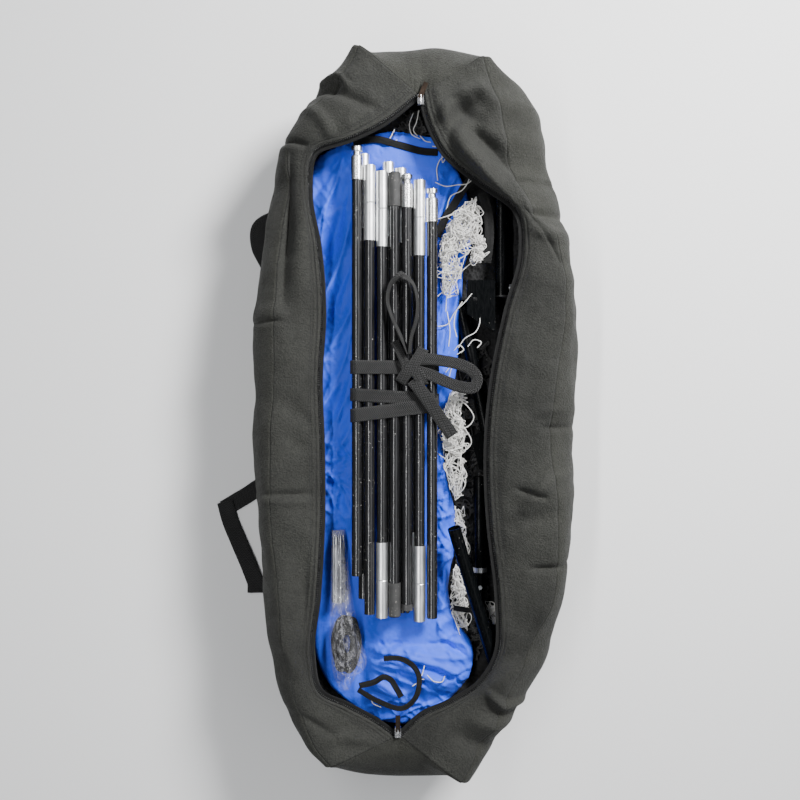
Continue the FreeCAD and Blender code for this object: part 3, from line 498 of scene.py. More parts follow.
# %% [markdown]
# The bag's two long sides are each a lid strip, turned back from the zip, and a wall that
# bulges and tucks under. The maker of a loft sets sections at stations along the length and
# lets smooth curves join them, first along the bag and then round each section. The stations
# hold the zip edge, the seam between lid and wall, and the widest point of the wall.

# %% Stations of the two sides
LEFT = [((-31, -473, 168), (-120, -509, 182), (-128, -508, 110)),
        ((-60, -453, 166), (-140, -488, 176), (-160, -490, 105)),
        ((-100, -432, 164), (-158, -455, 171), (-183, -455, 105)),
        ((-141, -412, 162), (-176, -415, 169), (-200, -405, 105)),
        ((-155, -355, 160), (-188, -350, 168), (-212, -345, 105)),
        ((-147, -270, 158), (-199, -262, 168), (-223, -255, 105)),
        ((-141, -165, 158), (-208, -165, 168), (-231, -160, 105)),
        ((-141, -50, 160), (-209, -50, 170), (-238, -50, 105)),
        ((-144, 50, 160), (-205, 50, 170), (-240, 50, 105)),
        ((-139, 150, 160), (-205, 150, 170), (-238, 145, 105)),
        ((-145, 240, 162), (-200, 240, 170), (-228, 235, 105)),
        ((-158, 320, 166), (-192, 325, 172), (-215, 320, 108)),
        ((-147, 382, 174), (-184, 392, 176), (-197, 395, 112)),
        ((-95, 400, 182), (-140, 440, 180), (-163, 445, 112)),
        ((-45, 425, 180), (-100, 485, 182), (-132, 490, 112)),
        ((2, 464, 174), (-80, 528, 185), (-92, 520, 110))]
RIGHT = [((-19, -473, 168), (66, -532, 182), (84, -524, 110)),
         ((10, -446, 166), (90, -490, 175), (115, -488, 105)),
         ((50, -428, 164), (120, -440, 171), (150, -440, 105)),
         ((96, -400, 162), (145, -385, 170), (185, -385, 105)),
         ((124, -355, 159), (175, -330, 169), (207, -325, 105)),
         ((126, -275, 158), (203, -262, 168), (222, -250, 105)),
         ((114, -165, 158), (208, -165, 168), (233, -155, 105)),
         ((110, -50, 158), (197, -40, 170), (238, -40, 105)),
         ((119, 50, 158), (205, 55, 168), (239, 60, 105)),
         ((138, 145, 161), (219, 150, 165), (238, 150, 105)),
         ((160, 235, 166), (208, 240, 170), (228, 240, 105)),
         ((150, 297, 172), (165, 305, 175), (217, 305, 105)),
         ((95, 338, 177), (140, 365, 176), (204, 365, 105)),
         ((45, 380, 178), (125, 425, 178), (190, 425, 105)),
         ((21, 430, 176), (108, 480, 181), (165, 480, 108)),
         ((14, 464, 174), (98, 514, 185), (116, 512, 110))]
UNDERCUT, LOW_BEND, LOW_Z = 45, 8, 50
FLOOR_Y = {"head": 500, "foot": -496}
LID_PUFF = 4
ROWS = 421
print("stations", len(LEFT), len(RIGHT))

# %% [markdown]
# The lid grid starts with narrow columns at the zip, where the stitched facing stands up in
# two low ridges, and widens towards the seam. The wall starts on the lid's last column, so
# the two meet in one line, and a piped seam covers it.

# %% Sections of a side


def side_rails(stations, side):
    """Section points at each station: zip edge, mid lid, seam, high bend, widest, low bend
    and floor edge. Side is -1 for the left and 1 for the right."""
    zip_edge, seam, wide = (np.array([s[k] for s in stations], float) for k in range(3))
    middle = (zip_edge + seam) / 2 + np.array([0, 0, LID_PUFF])
    high = np.stack([seam[:, 0] + (wide[:, 0] - seam[:, 0]) * 0.75 + side * 5,
                     seam[:, 1] + (wide[:, 1] - seam[:, 1]) * 0.5,
                     seam[:, 2] + (wide[:, 2] - seam[:, 2]) * 0.45], 1)
    low = wide - np.array([side * LOW_BEND, 0, 0])
    low[:, 2] = LOW_Z
    floor_edge = wide - np.array([side * UNDERCUT, 0, 0])
    floor_edge[:, 2] = 1.0
    floor_edge[0, 1], floor_edge[-1, 1] = FLOOR_Y["foot"], FLOOR_Y["head"]
    return np.stack([zip_edge, middle, seam, high, wide, low, floor_edge], 1) * MM


def lid_and_wall(stations, side):
    """The side as two grids that share the seam's column: smooth curves along the bag through
    each rail, then across each section."""
    lengthwise = smooth(side_rails(stations, side), ROWS)
    step = np.linalg.norm(np.diff(lengthwise, axis=1), axis=2).mean(0)
    whole = smooth(lengthwise.transpose(1, 0, 2), 241).transpose(1, 0, 2)
    seam_column = round(240 * step[:2].sum() / step.sum())
    lid, wall = whole[:, :seam_column + 1], whole[:, seam_column:]
    return respaced(lid, LID_COLUMNS), respaced(wall, np.linspace(0, 1, 57))


def respaced(grid, shares):
    """The same surface with its columns at those shares of its width."""
    at = shares * (grid.shape[1] - 1)
    i = np.minimum(at.astype(int), grid.shape[1] - 2)
    f = (at - i)[None, :, None]
    return grid[:, i] * (1 - f) + grid[:, i + 1] * f


FACING = np.linspace(0, 0.2, 15)
LID_COLUMNS = np.concatenate([FACING, np.linspace(0.2, 1, 25)[1:]])
left_lid, left_wall = lid_and_wall(LEFT, -1)
right_lid, right_wall = lid_and_wall(RIGHT, 1)
print("lid grids", left_lid.shape, right_lid.shape, "walls", left_wall.shape)

# %% [markdown]
# Where the bag is lifted and let go, its cloth keeps long soft folds. Each one here is a line
# on the ground plan with a width and a height. A crease is a narrow valley with a soft ridge
# beside it, which is how cloth looks where it is bent sharply.

# %% Folds of the two sides
LEFT_FOLDS = [(-184, 372, -186, 236, 11, -9, 0), (-150, 452, -78, 500, -14, 5, 0),
              (-214, -119, -153, -119, 5, -3, 0), (-214, -128, -158, -129, 7, 2, 0),
              (-200, 20, -150, -20, 16, -3, 4), (-190, -30, -150, -60, 14, -2.5, 0),
              (-186, 335, -194, 165, 12, -9, 0), (-206, 330, -212, 180, 9, 4, 0),
              (-198, 402, -160, 388, 5, -5, 0), (-230, 136, -196, 134, 4, -3.5, 0),
              (-150, 440, -120, 400, 9, 4, 3), (-135, 470, -60, 440, 8, -5, 0),
              (-112, 492, -96, 470, 4, 5, 0), (-125, 460, -100, 478, 6, -6, 0),
              (-160, 300, -172, 160, 13, 2.5, 0), (-175, -200, -150, -330, 14, -3, 4),
              (-205, -290, -170, -380, 10, 3, -5), (-120, -470, -60, -475, 8, 3, 0),
              (-165, -440, -118, -468, 6, -3, 0)]
RIGHT_FOLDS = [(48, 402, 88, 452, 12, -9, 8), (44, 430, 90, 470, 10, 6, 6),
               (30, 455, 140, 300, 17, 9, -10), (60, 450, 175, 330, 13, -8, -8),
               (95, 470, 168, 395, 12, 5, 0), (172, 291, 211, 278, 5, -6, 0),
               (152, 339, 199, 284, 6, -6, 4), (178, 268, 212, 250, 9, 5, 0),
               (102, 512, 163, 317, 3, -2, -4), (152, 303, 211, 220, 3, -2, 4),
               (188, -22, 226, -22, 5, -4, 0), (180, 0, 222, 6, 10, 2.5, 0),
               (150, -112, 189, -122, 5, -4, 0), (160, -140, 203, -92, 8, 4, 3),
               (150, -160, 190, -150, 12, -3, 0), (170, -228, 214, -226, 5, -4, 0),
               (137, -435, 110, -410, 6, 7, 0), (124, -395, 185, -350, 10, 5, 4),
               (90, -450, 160, -470, 11, 6, 3), (60, -470, 150, -505, 12, -5, 0),
               (140, -380, 178, -300, 15, -3, -4), (120, 395, 62, 430, 8, 4, 0)]
FOLD_DEPTH = 1.9


def soften(grid, lines, slack, seed, free_columns):
    """Moves a grid along its own normals: listed folds and slow slack. The first columns,
    at a sewn edge, move less."""
    x, y = grid[..., 0], grid[..., 1]
    held = np.clip(np.arange(grid.shape[1]) / free_columns, 0, 1) ** 1.5
    height = FOLD_DEPTH * folds(x, y, lines)
    height = height + slack * MM * (waves(x, y, 0.16, seed) + 0.45 * waves(x, y, 0.06, seed + 1))
    height = height + 2.2 * MM * creases(x, y, 1.40, 0.20, 0.035, seed + 2)
    normal = grid_normals(grid)
    normal = normal * np.sign(normal[..., 2:3].mean() + 1e-9)
    return grid + normal * (height * held)[..., None]


def facing_ridges(grid):
    """Two low ridges beside the zip, where the facing is folded under: each height is a bell
    of the distance from the edge."""
    far = np.linalg.norm(grid - grid[:, :1], axis=2)
    raised = grid.copy()
    for height, middle, half in ((1.3, 0.0022, 0.0014), (0.8, 0.0083, 0.0016)):
        raised[..., 2] += height * MM * np.exp(-((far - middle) / half) ** 2)
    return raised


left_lid = facing_ridges(soften(left_lid, LEFT_FOLDS, 2.4, 21, 16))
right_lid = facing_ridges(soften(right_lid, RIGHT_FOLDS, 2.8, 22, 16))


def follow_edge(wall, lid, seed):
    """The wall starts on the lid's moved edge. What the edge moved fades down the wall, with
    slack of its own, and dies out at the floor."""
    share = np.linspace(0, 1, wall.shape[1])
    moved = (lid[:, -1:] - wall[:, :1]) * ((1 - share) ** 2)[None, :, None]
    x, y, z = wall[..., 0], wall[..., 1], wall[..., 2]
    slack = waves(y, z * 2, 0.13, seed) + 0.5 * waves(y, z * 1.5, 0.05, seed + 1)
    seat = np.sin(np.pi * share) ** 0.8
    middle = np.array([0.0, 0.0, 0.09])
    outward = unit((wall - middle) * np.array([1, 0, 0.4]))
    return wall + moved + outward * (slack * seat * 1.9 * MM)[..., None]


left_wall = follow_edge(left_wall, left_lid, 31)
right_wall = follow_edge(right_wall, right_lid, 32)
print("lid heights", [round(float(g[..., 2].max()), 4) for g in (left_lid, right_lid)])

# %% [markdown]
# A grid becomes cloth when its quads are a mesh and the mesh has a thickness. The bag's cloth
# with its padding is 1.6 mm, added inwards, so that the outside stays where it was worked out.
# The grids of the two sides run in mirrored directions, so one of each pair has its faces
# turned to point outwards.

# %% Sides as pieces
BAG_WALL = 0.0016
for name, grid, turned, cloth in (("lid_left", left_lid, False, LID_CLOTH),
                                  ("lid_right", right_lid, True, LID_CLOTH),
                                  ("wall_left", left_wall, False, WALL_SHADED_CLOTH),
                                  ("wall_right", right_wall, True, WALL_SHADED_CLOTH)):
    piece = grid_piece(name, grid, turned, BAG_WALL)
    finish_piece(piece, "holdall", cloth, "bag_cloth", "bag_" + name)

# %% [markdown]
# Each end of the bag is one panel. Its top edge dips to the end of the zip, so from above it
# shows as a shallow wedge between two seams, and it bulges outwards before it tucks under.

# %% Ends and base
END_TOP = 0.172


def end_grid(side_left, side_right, row, bulge_y):
    """Rows from the dipped top edge down to the floor. Between the two corner columns each
    row leans out to the bulge by the root of a sine of the distance across."""
    corner_left, corner_right = side_left[1][row], side_right[1][row]
    top = np.concatenate([side_left[0][row][::-1], side_right[0][row]])
    top = respaced(top[None], np.linspace(0, 1, 81))[0]
    share = np.linspace(0, 1, 81)
    down = np.linspace(0, 1, corner_left.shape[0])
    flat = (corner_left[:, None] * (1 - share)[None, :, None]
            + corner_right[:, None] * share[None, :, None])
    reach = np.interp(down, [0, 0.22, 0.5, 0.8, 1], [0.75, 1.0, 1.0, 0.8, 0.0])
    swell = np.sqrt(np.sin(np.pi * share)) * reach[:, None]
    flat[..., 1] += (bulge_y * MM - flat[..., 1]) * swell
    blend_down = np.clip(down / 0.30, 0, 1)[:, None, None]
    blend_down = blend_down * blend_down * (3 - 2 * blend_down)
    lowered = flat.copy()
    lowered[..., 2] = np.minimum(flat[..., 2], END_TOP)
    grid = top[None] * (1 - blend_down) + lowered * blend_down
    x, z = grid[..., 0], grid[..., 2]
    slack = waves(x, z, 0.09, 41 + row) * np.sin(np.pi * share) * np.sin(np.pi * down)[:, None]
    grid[..., 1] += math.copysign(2.0 * MM, bulge_y) * slack
    return grid


left_side, right_side = (left_lid, left_wall), (right_lid, right_wall)
head = end_grid(left_side, right_side, -1, 541)
foot = end_grid(left_side, right_side, 0, -540)
for name, grid, turned in (("end_head", head, True), ("end_foot", foot, False)):
    piece = grid_piece(name, grid, turned, BAG_WALL)
    finish_piece(piece, "holdall", WALL_SHADED_CLOTH, "bag_cloth", "bag_" + name)

share = np.linspace(0, 1, 9)[None, :, None]
base = left_wall[::4, -1:] * (1 - share) + right_wall[::4, -1:] * share
base[..., 2] = 0.0012
piece = grid_piece("base", base, True, 0.001)
finish_piece(piece, "holdall", WALL_SHADED_CLOTH, "bag_cloth", "bag_floor")

# %% [markdown]
# Webbing, cord and tube are one idea: a closed profile carried along a path. At each path
# point the profile's first number goes sideways and its second goes along the normal, so a
# flat oblong gives webbing and a ring gives cord. Both ends are closed with a face.

# %% Profiles along paths


def ring(radius, sides):
    """Points round a circle."""
    turn = np.arange(sides) * 2 * np.pi / sides
    return np.stack([np.cos(turn), np.sin(turn)], 1) * radius


def flat_profile(width, thick):
    """A webbing's section: an oblong with rounded edges, and a row of points across."""
    half, t = width / 2, thick / 2
    across = np.linspace(-half + t * 0.6, half - t * 0.6, 7)
    top = np.stack([across[::-1], np.full(7, t)], 1)
    foot = np.stack([across, np.full(7, -t)], 1)
    return np.concatenate([foot, [(half, 0)], top, [(-half, 0)]])


def sweep(path, profile, up=(0.0, 0.0, 1.0), scale=None):
    """Profile points at every path point: path + side * first + normal * second."""
    along = unit(np.gradient(path, axis=-2))
    upward = np.broadcast_to(np.asarray(up, float), path.shape)
    side = unit(np.cross(along, upward))
    normal = np.cross(side, along)
    grown = profile if scale is None else profile * scale[..., None, None]
    return (path[..., None, :] + grown[..., 0:1] * side[..., None, :]
            + grown[..., 1:2] * normal[..., None, :])


PATTERN_SHIFT = 0.137


def tube_mesh(name, rings):
    """One mesh from any number of tubes: rings is tubes x stations x profile x 3. Quads join
    neighbouring rings, and one face closes each end. Each tube's UV pattern starts a shift
    further on, so that no two look alike."""
    count, rows, around = rings.shape[:3]
    at = np.arange(count * rows * around).reshape(count, rows, around)
    following = np.roll(at, -1, axis=2)
    quads = np.stack([at[:, :-1], following[:, :-1], following[:, 1:], at[:, 1:]], -1).reshape(-1, 4)
    ends = np.concatenate([at[:, 0, ::-1], at[:, -1]])
    far = np.linalg.norm(np.diff(rings.mean(2), axis=1), axis=2)
    v = np.concatenate([np.zeros((count, 1)), np.cumsum(far, axis=1)], 1)
    v = v + np.arange(count)[:, None] * PATTERN_SHIFT
    step = np.linalg.norm(np.roll(rings, -1, axis=2) - rings, axis=3).mean((0, 1))
    u = np.concatenate([[0], np.cumsum(step)[:-1]])
    uv = np.stack(np.broadcast_arrays(u[None, None, :], v[:, :, None]), -1)
    return make_mesh(name, rings, quads.tolist() + ends.tolist(), uv, True, len(ends))


def strap(name, points, width, thick, up=(0.0, 0.0, 1.0)):
    """Webbing of that width and thickness, in mm, through given points."""
    points = np.asarray(points, float) * MM
    length = np.linalg.norm(np.diff(points, axis=0), axis=1).sum()
    path = smooth(points, max(12, int(length / 0.003)))
    return tube_mesh(name, sweep(path, flat_profile(width * MM, thick * MM), up)[None])


print("points round a webbing's section", len(flat_profile(27, 2)))


# %% [markdown]
# Panels of the bag meet in piped seams. From above each one is a thin dark line, because the
# binding stands in its own shadow; that shadow is painted into the seam's near-black cloth. It is
# a small tube along an edge that both panels share.

# %% Seams of the bag
SEAM_RADIUS = 1.1
for name, edge in (("seam_left", left_lid[:, -1]), ("seam_right", right_lid[:, -1]),
                   ("seam_head_left", head[:40, 0]), ("seam_head_right", head[:40, -1]),
                   ("seam_head_top", head[0]), ("seam_foot_left", foot[:40, 0]),
                   ("seam_foot_right", foot[:40, -1]), ("seam_foot_top", foot[0])):
    path = evenly(edge, max(24, int(len(edge) * 0.8)))
    seam = tube_mesh(name, sweep(path, ring(SEAM_RADIUS * MM, 6), (0.2, 0.1, 0.97))[None])
    finish_piece(seam, "holdall", SEAM_SHADOW_CLOTH, "bag_cloth")

# %% [markdown]
# Webbing is woven in a herringbone: ribs that slant one way and then the other across its
# width. The UV map gives the real distances, so the ribs follow every bend of the strap.

# %% Webbing


def webbing_material(name, dark, light, pitch):
    """Black woven webbing with slanting ribs. Its colour is painted lighter on the rib crests and
    darker in their valleys, painted light and shade, and it changes slowly at random.
    """
    material, tree, shader, place, uv = new_material(
        name, Roughness=0.7, Sheen_Weight=0.05, Sheen_Roughness=0.4, Specular_IOR_Level=0.25)
    ribs = use(tree, RIBS, uv, Pitch=pitch)
    relief_shade_and_tone = math_node(tree, "MULTIPLY", ribs, shades(tree, place, 25.0, 0.75, 1.0))
    feed(tree, shader, colour_by(tree, relief_shade_and_tone, dark, light), shades(tree, place, 80.0, 0.6, 0.85),
         [(ribs, 0.0012)])
    return material


WEBBING = webbing_material("webbing", (0.001, 0.001, 0.001), (0.050, 0.050, 0.050), 0.0030)
TAPE = webbing_material("binding_tape", (0.0015, 0.0015, 0.0015), (0.013, 0.013, 0.013), 0.0018)

# %% [markdown]
# The two carrying handles are webbing loops sewn under the bag and lying flat on the floor.
# Only the left one reaches far out from under the wall. Each turns with its own body.

# %% Carrying handles
LEFT_HANDLE = [(-308, -158), (-288, -146), (-262, -130), (-238, -110), (-229, -84), (-226, 20),
               (-226, 150), (-227, 222), (-240, 246), (-251, 270), (-250, 298), (-225, 313),
               (-187, 321)]
LEFT_HANDLE_FOLD = [(-306, -146), (-298, -176), (-284, -210), (-266, -252), (-252, -290)]
LEFT_HANDLE_END = [(-270, -281), (-240, -281), (-187, -283)]
RIGHT_HANDLE = [(190, -262), (204, -256), (221, -232), (228, -90), (228, 40), (228, 160),
                (221, 232), (206, 256), (192, 262)]
HANDLE_WIDTH = 27
for name, route, height, body, cad in (
        ("handle_loop_left", LEFT_HANDLE, 2.6, "left_handle", "handle_left"),
        ("handle_fold_left", LEFT_HANDLE_FOLD, 5.0, "left_handle", None),
        ("handle_end_left", LEFT_HANDLE_END, 2.6, "left_handle", None),
        ("handle_loop_right", RIGHT_HANDLE, 2.6, "right_handle", "handle_right")):
    path = [(x, y, height + 1.0 * math.sin(y * 0.045)) for x, y in route]
    finish_piece(strap(name, path, HANDLE_WIDTH, 2.2), body, WEBBING, "webbing", cad)

HANDLE_SEATS = [(-191, -283, -171), (-191, 321, -165), (194, -260, 172), (196, 260, 173)]
for number, (outer, y, inner) in enumerate(HANDLE_SEATS, start=1):
    path = [(x, y, 1.5) for x in (outer, (outer + inner) / 2, inner)]
    seat = strap(f"handle_seat_{number}", path, HANDLE_WIDTH, 1.8)
    finish_piece(seat, "holdall", WEBBING, "webbing")

# %% [markdown]
# Webbing bands hold the poles together. Each band is a closed loop round the bundle, pulled
# into a knot at the front with a bow: a loop that stands up, two ribbons to the right and a
# long tail. Its solid parts in the frame give the space, and here each is one strap.

# %% Bands round the poles
BUNDLE_X, POLE_PITCH = -30, 18.3
BAND_LEFT, BAND_RIGHT = BUNDLE_X - 3 * POLE_PITCH - 9.2, BUNDLE_X + 3 * POLE_PITCH + 9.2


def band(name, y_left, y_right, width, lift=0.0):
    """A closed band: an oblong ring with round corners, seen from the end of the bundle."""
    xs = [BAND_LEFT + 6, BAND_LEFT + 30, -30, BAND_RIGHT - 26, BAND_RIGHT - 6, BAND_RIGHT,
          BAND_RIGHT - 3, BAND_RIGHT - 14, -30, BAND_LEFT + 14, BAND_LEFT + 3, BAND_LEFT,
          BAND_LEFT + 6]
    zs = [171, 172.4, 172.8, 172.2, 169.5, 162, 146, 138.4, 137.8, 138.4, 146, 162, 171]
    ys = np.interp(xs, [BAND_LEFT, BAND_RIGHT], [y_left, y_right])
    zs = np.array(zs) + lift * (np.array(zs) > 165)
    points = np.stack([xs, ys, zs], 1)
    path = smooth(points * MM, 90)
    inward = np.array([BUNDLE_X * MM, 0, 0.155]) - path
    inward[:, 1] = 0
    profile = flat_profile(width * MM, 1.6 * MM)
    return tube_mesh(name, sweep(path, profile, unit(-inward * np.array([0.25, 0, 1])))[None])


for name, y_left, y_right, width, lift in (("tie_band_1", 67, 66, 20, 0.0),
                                           ("tie_band_2", 27, 19, 19, 0.0),
                                           ("tie_band_3", -4, 12, 20, 1.8)):
    finish_piece(band(name, y_left, y_right, width, lift), "bundle", WEBBING, "webbing")
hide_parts("tie_bands")

# %% [markdown]
# A bow could be simulated, but it is small and its loops have known places, so each is a strap
# through listed points, with its height above the bands given as the third number. The big
# loop stands nearly on its edge, so its strap has its own up direction.

# %% Knot and bow
BOW_Z = 174.6
BOW_LOOP = [(-10, 86, 6), (-24, 118, 7), (-34, 140, 8), (-40, 166, 9), (-34, 188, 10),
            (-20, 198, 10), (-6, 190, 9), (3, 164, 8), (2, 138, 7), (-6, 108, 6), (-8, 86, 5)]
BOW_RIBBON = [(-4, 76, 3), (18, 78, 5), (44, 75, 4), (66, 70, 2), (82, 62, 0), (90, 50, -1),
              (86, 38, 0), (66, 38, 1), (44, 46, 3), (20, 56, 5), (-2, 62, 3)]
BOW_TAIL = [(-4, 48, 5), (10, 30, 6.5), (24, 10, 5.5), (38, -10, 4), (54, -33, 1)]
SMALL_TAIL = [(-10, 60, 4), (-18, 78, 5), (-24, 92, 4), (-30, 104, 1)]
KNOT_TURNS = [[(-22, 44, 2), (-14, 56, 7), (-4, 68, 8.5), (6, 82, 6), (12, 94, 1)],
              [(-20, 76, 1), (-12, 68, 6), (0, 60, 8), (8, 50, 6), (12, 40, 1)]]


def bow_strap(name, points, width, up=(0.0, 0.0, 1.0), thick=1.5):
    """A strap of the bow, its heights above the bands' top."""
    lifted = [(x, y, BOW_Z + z) for x, y, z in points]
    return finish_piece(strap(name, lifted, width, thick, up), "bundle", WEBBING, "webbing")


loop = bow_strap("bow_loop", BOW_LOOP, 15, (0.955, 0.05, 0.29), 1.2)
bow_strap("bow_ribbon", BOW_RIBBON, 17)
bow_strap("bow_tail", BOW_TAIL, 19)
bow_strap("bow_tail_small", SMALL_TAIL, 12)
for number, turn in enumerate(KNOT_TURNS, start=1):
    bow_strap(f"knot_turn_{number}", turn, 17)
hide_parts("tie_bow")

# %% [markdown]
# The target sheet is thin blue nylon, folded into a pad that the poles lie on. Its top layer
# is one surface over a bed: flat layers at the sides, the pad under the poles and a mound at
# the foot. A shape on a ground plan gives each bed, and its distance function, the signed
# distance of every grid point from the outline, rounds the edges over.

# %% Beds and outlines


def signed_distance(x, y, outline):
    """Distance of every point from a closed outline in metres, above zero inside it: the least
    distance to any edge, its sign from counting the edges crossed to one side."""
    p = np.asarray(outline, float)
    q = np.roll(p, -1, axis=0)
    near = np.full(x.shape, 1e9)
    crossed = np.zeros(x.shape, int)
    for (ax, ay), (bx, by) in zip(p, q):
        ex, ey = bx - ax, by - ay
        t = np.clip(((x - ax) * ex + (y - ay) * ey) / (ex * ex + ey * ey), 0, 1)
        near = np.minimum(near, np.hypot(x - ax - t * ex, y - ay - t * ey))
        over = ((ay > y) != (by > y)) & (x < ex * (y - ay) / (ey if ey else 1e-12) + ax)
        crossed += over
    return np.where(crossed % 2 == 1, near, -near)


def step_up(distance, soft):
    """0 well outside, 1 well inside, a smooth step over the soft distance."""
    t = np.clip(distance / soft * 0.5 + 0.5, 0, 1)
    return t * t * (3 - 2 * t)


def between_edges(left, right, rows, columns):
    """A ground-plan grid between two edges, each a given list of points."""
    a, b = smooth(np.array(left, float) * MM, rows), smooth(np.array(right, float) * MM, rows)
    share = np.linspace(0, 1, columns)[None, :, None]
    return a[:, None] * (1 - share) + b[:, None] * share


square = np.array([(0, 0), (1, 0), (1, 1), (0, 1)])
print("inside a square", signed_distance(np.array([0.5]), np.array([0.2]), square))


PAD = np.array([(-58, -342), (52, -342), (50, -250), (46, -60), (44, 120), (44, 395), (24, 420),
                (-60, 415), (-100, 390), (-98, 120), (-96, -160), (-58, -170)]) * MM
MOUND = np.array([(-60, -346), (60, -340), (84, -352), (84, -384), (50, -412), (0, -436),
                  (-24, -450), (-50, -442), (-76, -430), (-72, -404), (-66, -380)]) * MM
SHEET_LEFT = [(-46, -464), (-98, -440), (-132, -408), (-148, -372), (-152, -300), (-146, -200),
              (-145, -100), (-149, 0), (-150, 80), (-147, 170), (-152, 260), (-160, 330),
              (-147, 384), (-102, 406), (-62, 418), (-40, 424)]
SHEET_RIGHT = [(-14, -466), (38, -442), (66, -418), (84, -388), (84, -344), (64, -316),
               (50, -270), (60, -196), (60, -150), (46, -90), (46, -20), (62, 60), (70, 160),
               (74, 216), (86, 258), (82, 320), (62, 368), (44, 396), (30, 410)]


# %% [markdown]
# Nylon this thin pulls into long straight creases between the points where it is held, and
# crumples where it is pushed. The long creases run up from the lower left. On the mound the
# folds fan out from where the end is tucked in, so they are laid one by one.

# %% Surface of the sheet
SHEET_FOLDS = [(-148, 60, -96, 150, -9, 8, 0), (-148, 100, -98, 210, 7, -6, 3),
               (-150, 150, -100, 270, -8, 8, -4), (-148, 200, -96, 330, 7, -6, 0),
               (-154, 262, -98, 372, -8, 8, 4), (-156, 318, -104, 392, 6, -6, 0),
               (-146, 0, -100, 60, -8, 6, 0), (-128, -60, -98, -10, 6, 4, 2),
               (-120, 385, -60, 398, 7, 4, 3), (-70, 372, 40, 398, -8, 6, -6),
               (-64, 404, 20, 380, 7, -4, 5), (-20, 360, 60, 392, -9, 5, 0),
               (-144, -84, -98, -112, -5, 6, 0), (-140, -120, -104, -96, 4, -4, 2),
               (-144, -140, -100, -158, -5, 6, -2), (-112, -70, -120, -150, 4, 4, 0),
               (60, -190, 44, -262, -6, 7, -3), (40, -120, 62, -180, 6, 5, 0),
               (50, 120, 78, 230, -7, 6, 0), (42, 240, 70, 340, 8, 4, 4), (60, 180, 84, 300, 5, -4, 0)]
MOUND_FOLDS = [(-66, -352, 84, -398, -10, 13, 9), (-66, -372, 60, -414, -8, 11, 8),
               (-60, -362, 74, -406, 4, -9, 9), (-50, -338, 80, -366, -8, 10, -6),
               (30, -330, 84, -372, 4, -8, 0), (-30, -396, 70, -424, -8, 9, 4),
               (-60, -398, -20, -420, -8, 8, -6), (-20, -384, 44, -424, 4, -8, 5),
               (-64, -416, -10, -436, -6, -6, 3), (10, -344, 30, -330, 5, 6, 0),
               (-62, -350, -20, -340, 5, -6, 0), (44, -318, 80, -352, -7, 10, 3),
               (34, -404, 80, -384, 3, -6, 0), (-40, -428, 20, -438, -6, 7, 2)]


REST_Z, PAD_RISE, MOUND_RISE, CREASE_DEPTH = 0.1145, 0.0195, 0.018, 19
POLES_X, POLES_HALF = -0.030, 0.062
OPEN_CAP, POLE_ROOM, LOW_CAP = 0.1580, 0.0206, 0.1178


def sheet_height(x, y):
    """Height of the sheet's top layer in metres: bed, then creases, folds and slack, held flat
    under the poles, and kept low where they slide and where the clear bag lies."""
    pad = step_up(signed_distance(x, y, PAD), 0.022)
    mound = step_up(signed_distance(x, y, MOUND), 0.030)
    z = REST_Z + PAD_RISE * pad
    z = np.maximum(z, REST_Z + MOUND_RISE * mound + 0.003 * mound * waves(x, y, 0.09, 51))
    beside = POLES_HALF - np.abs(x - POLES_X)
    under = step_up(beside, 0.012) * step_up(np.minimum(y + 0.312, 0.372 - y), 0.02)
    low_side = step_up(-0.158 - y, 0.045) * step_up(-0.062 - x, 0.02)
    loose = (1 - under) * (1 - low_side)
    open_side = loose * (1 - 0.6 * mound)
    long_creases = (creases(x, y, 1.12, 0.19, 0.026, 61) * 0.5
                    + creases(x, y, 1.35, 0.12, 0.014, 62) * 0.25)
    small = (creases(x, y, 0.4, 0.05, 0.013, 63) * 0.30
             + creases(x, y, 2.2, 0.04, 0.010, 64) * 0.22)
    crumple = step_up(-0.055 - y, 0.05)
    both = long_creases * (1 - 0.55 * crumple) + small * (0.35 + crumple)
    z = z + open_side * CREASE_DEPTH * MM * both
    z = z + loose * folds(x, y, SHEET_FOLDS)
    z = z + step_up(mound - 0.3, 0.5) * folds(x, y, MOUND_FOLDS)
    z = z + mound * 6.0 * MM * creases(x, y, -0.35, 0.10, 0.020, 65)
    z = z + 0.5 * MM * waves(x, y, 0.03, 66) * (1 - 0.5 * under)
    slides = step_up(np.minimum(beside, np.minimum(y + 0.345, 0.425 - y)), 0.012)
    cap = OPEN_CAP - POLE_ROOM * np.clip(slides * 2.5, 0, 1)
    cap = cap * (1 - low_side) + LOW_CAP * low_side
    return np.minimum(z, cap - 0.0004 * np.clip(z - cap, 0, 1))


def drooped(grid, reach, depth):
    """Lowers the grid's border: each side's outer columns and rows fall along a quarter
    circle, so that the sheet's edge tucks down."""
    rows, columns = grid.shape[:2]
    x, y = grid[..., 0], grid[..., 1]
    across = np.minimum(np.linalg.norm(grid[:, :1, :2] - grid[..., :2], axis=2),
                        np.linalg.norm(grid[:, -1:, :2] - grid[..., :2], axis=2))
    along = np.minimum(np.abs(y - y[0].mean()), np.abs(y - y[-1].mean()))
    near = np.clip(1 - np.minimum(across, along) / reach, 0, 1)
    grid[..., 2] -= depth * near ** 2
    return grid


plan = between_edges(SHEET_LEFT, SHEET_RIGHT, 400, 120)
sheet = np.stack([plan[..., 0], plan[..., 1], sheet_height(plan[..., 0], plan[..., 1])], -1)
sheet = drooped(sheet, 0.008, 0.006)
print("sheet top", round(float(sheet[..., 2].max()), 4), "lowest", round(float(sheet[..., 2].min()), 4))

# %% [markdown]
# The nylon shines softly along each crease. Its own blue changes slowly from place to place,
# and a fine weave is too small to see from here but catches the light.

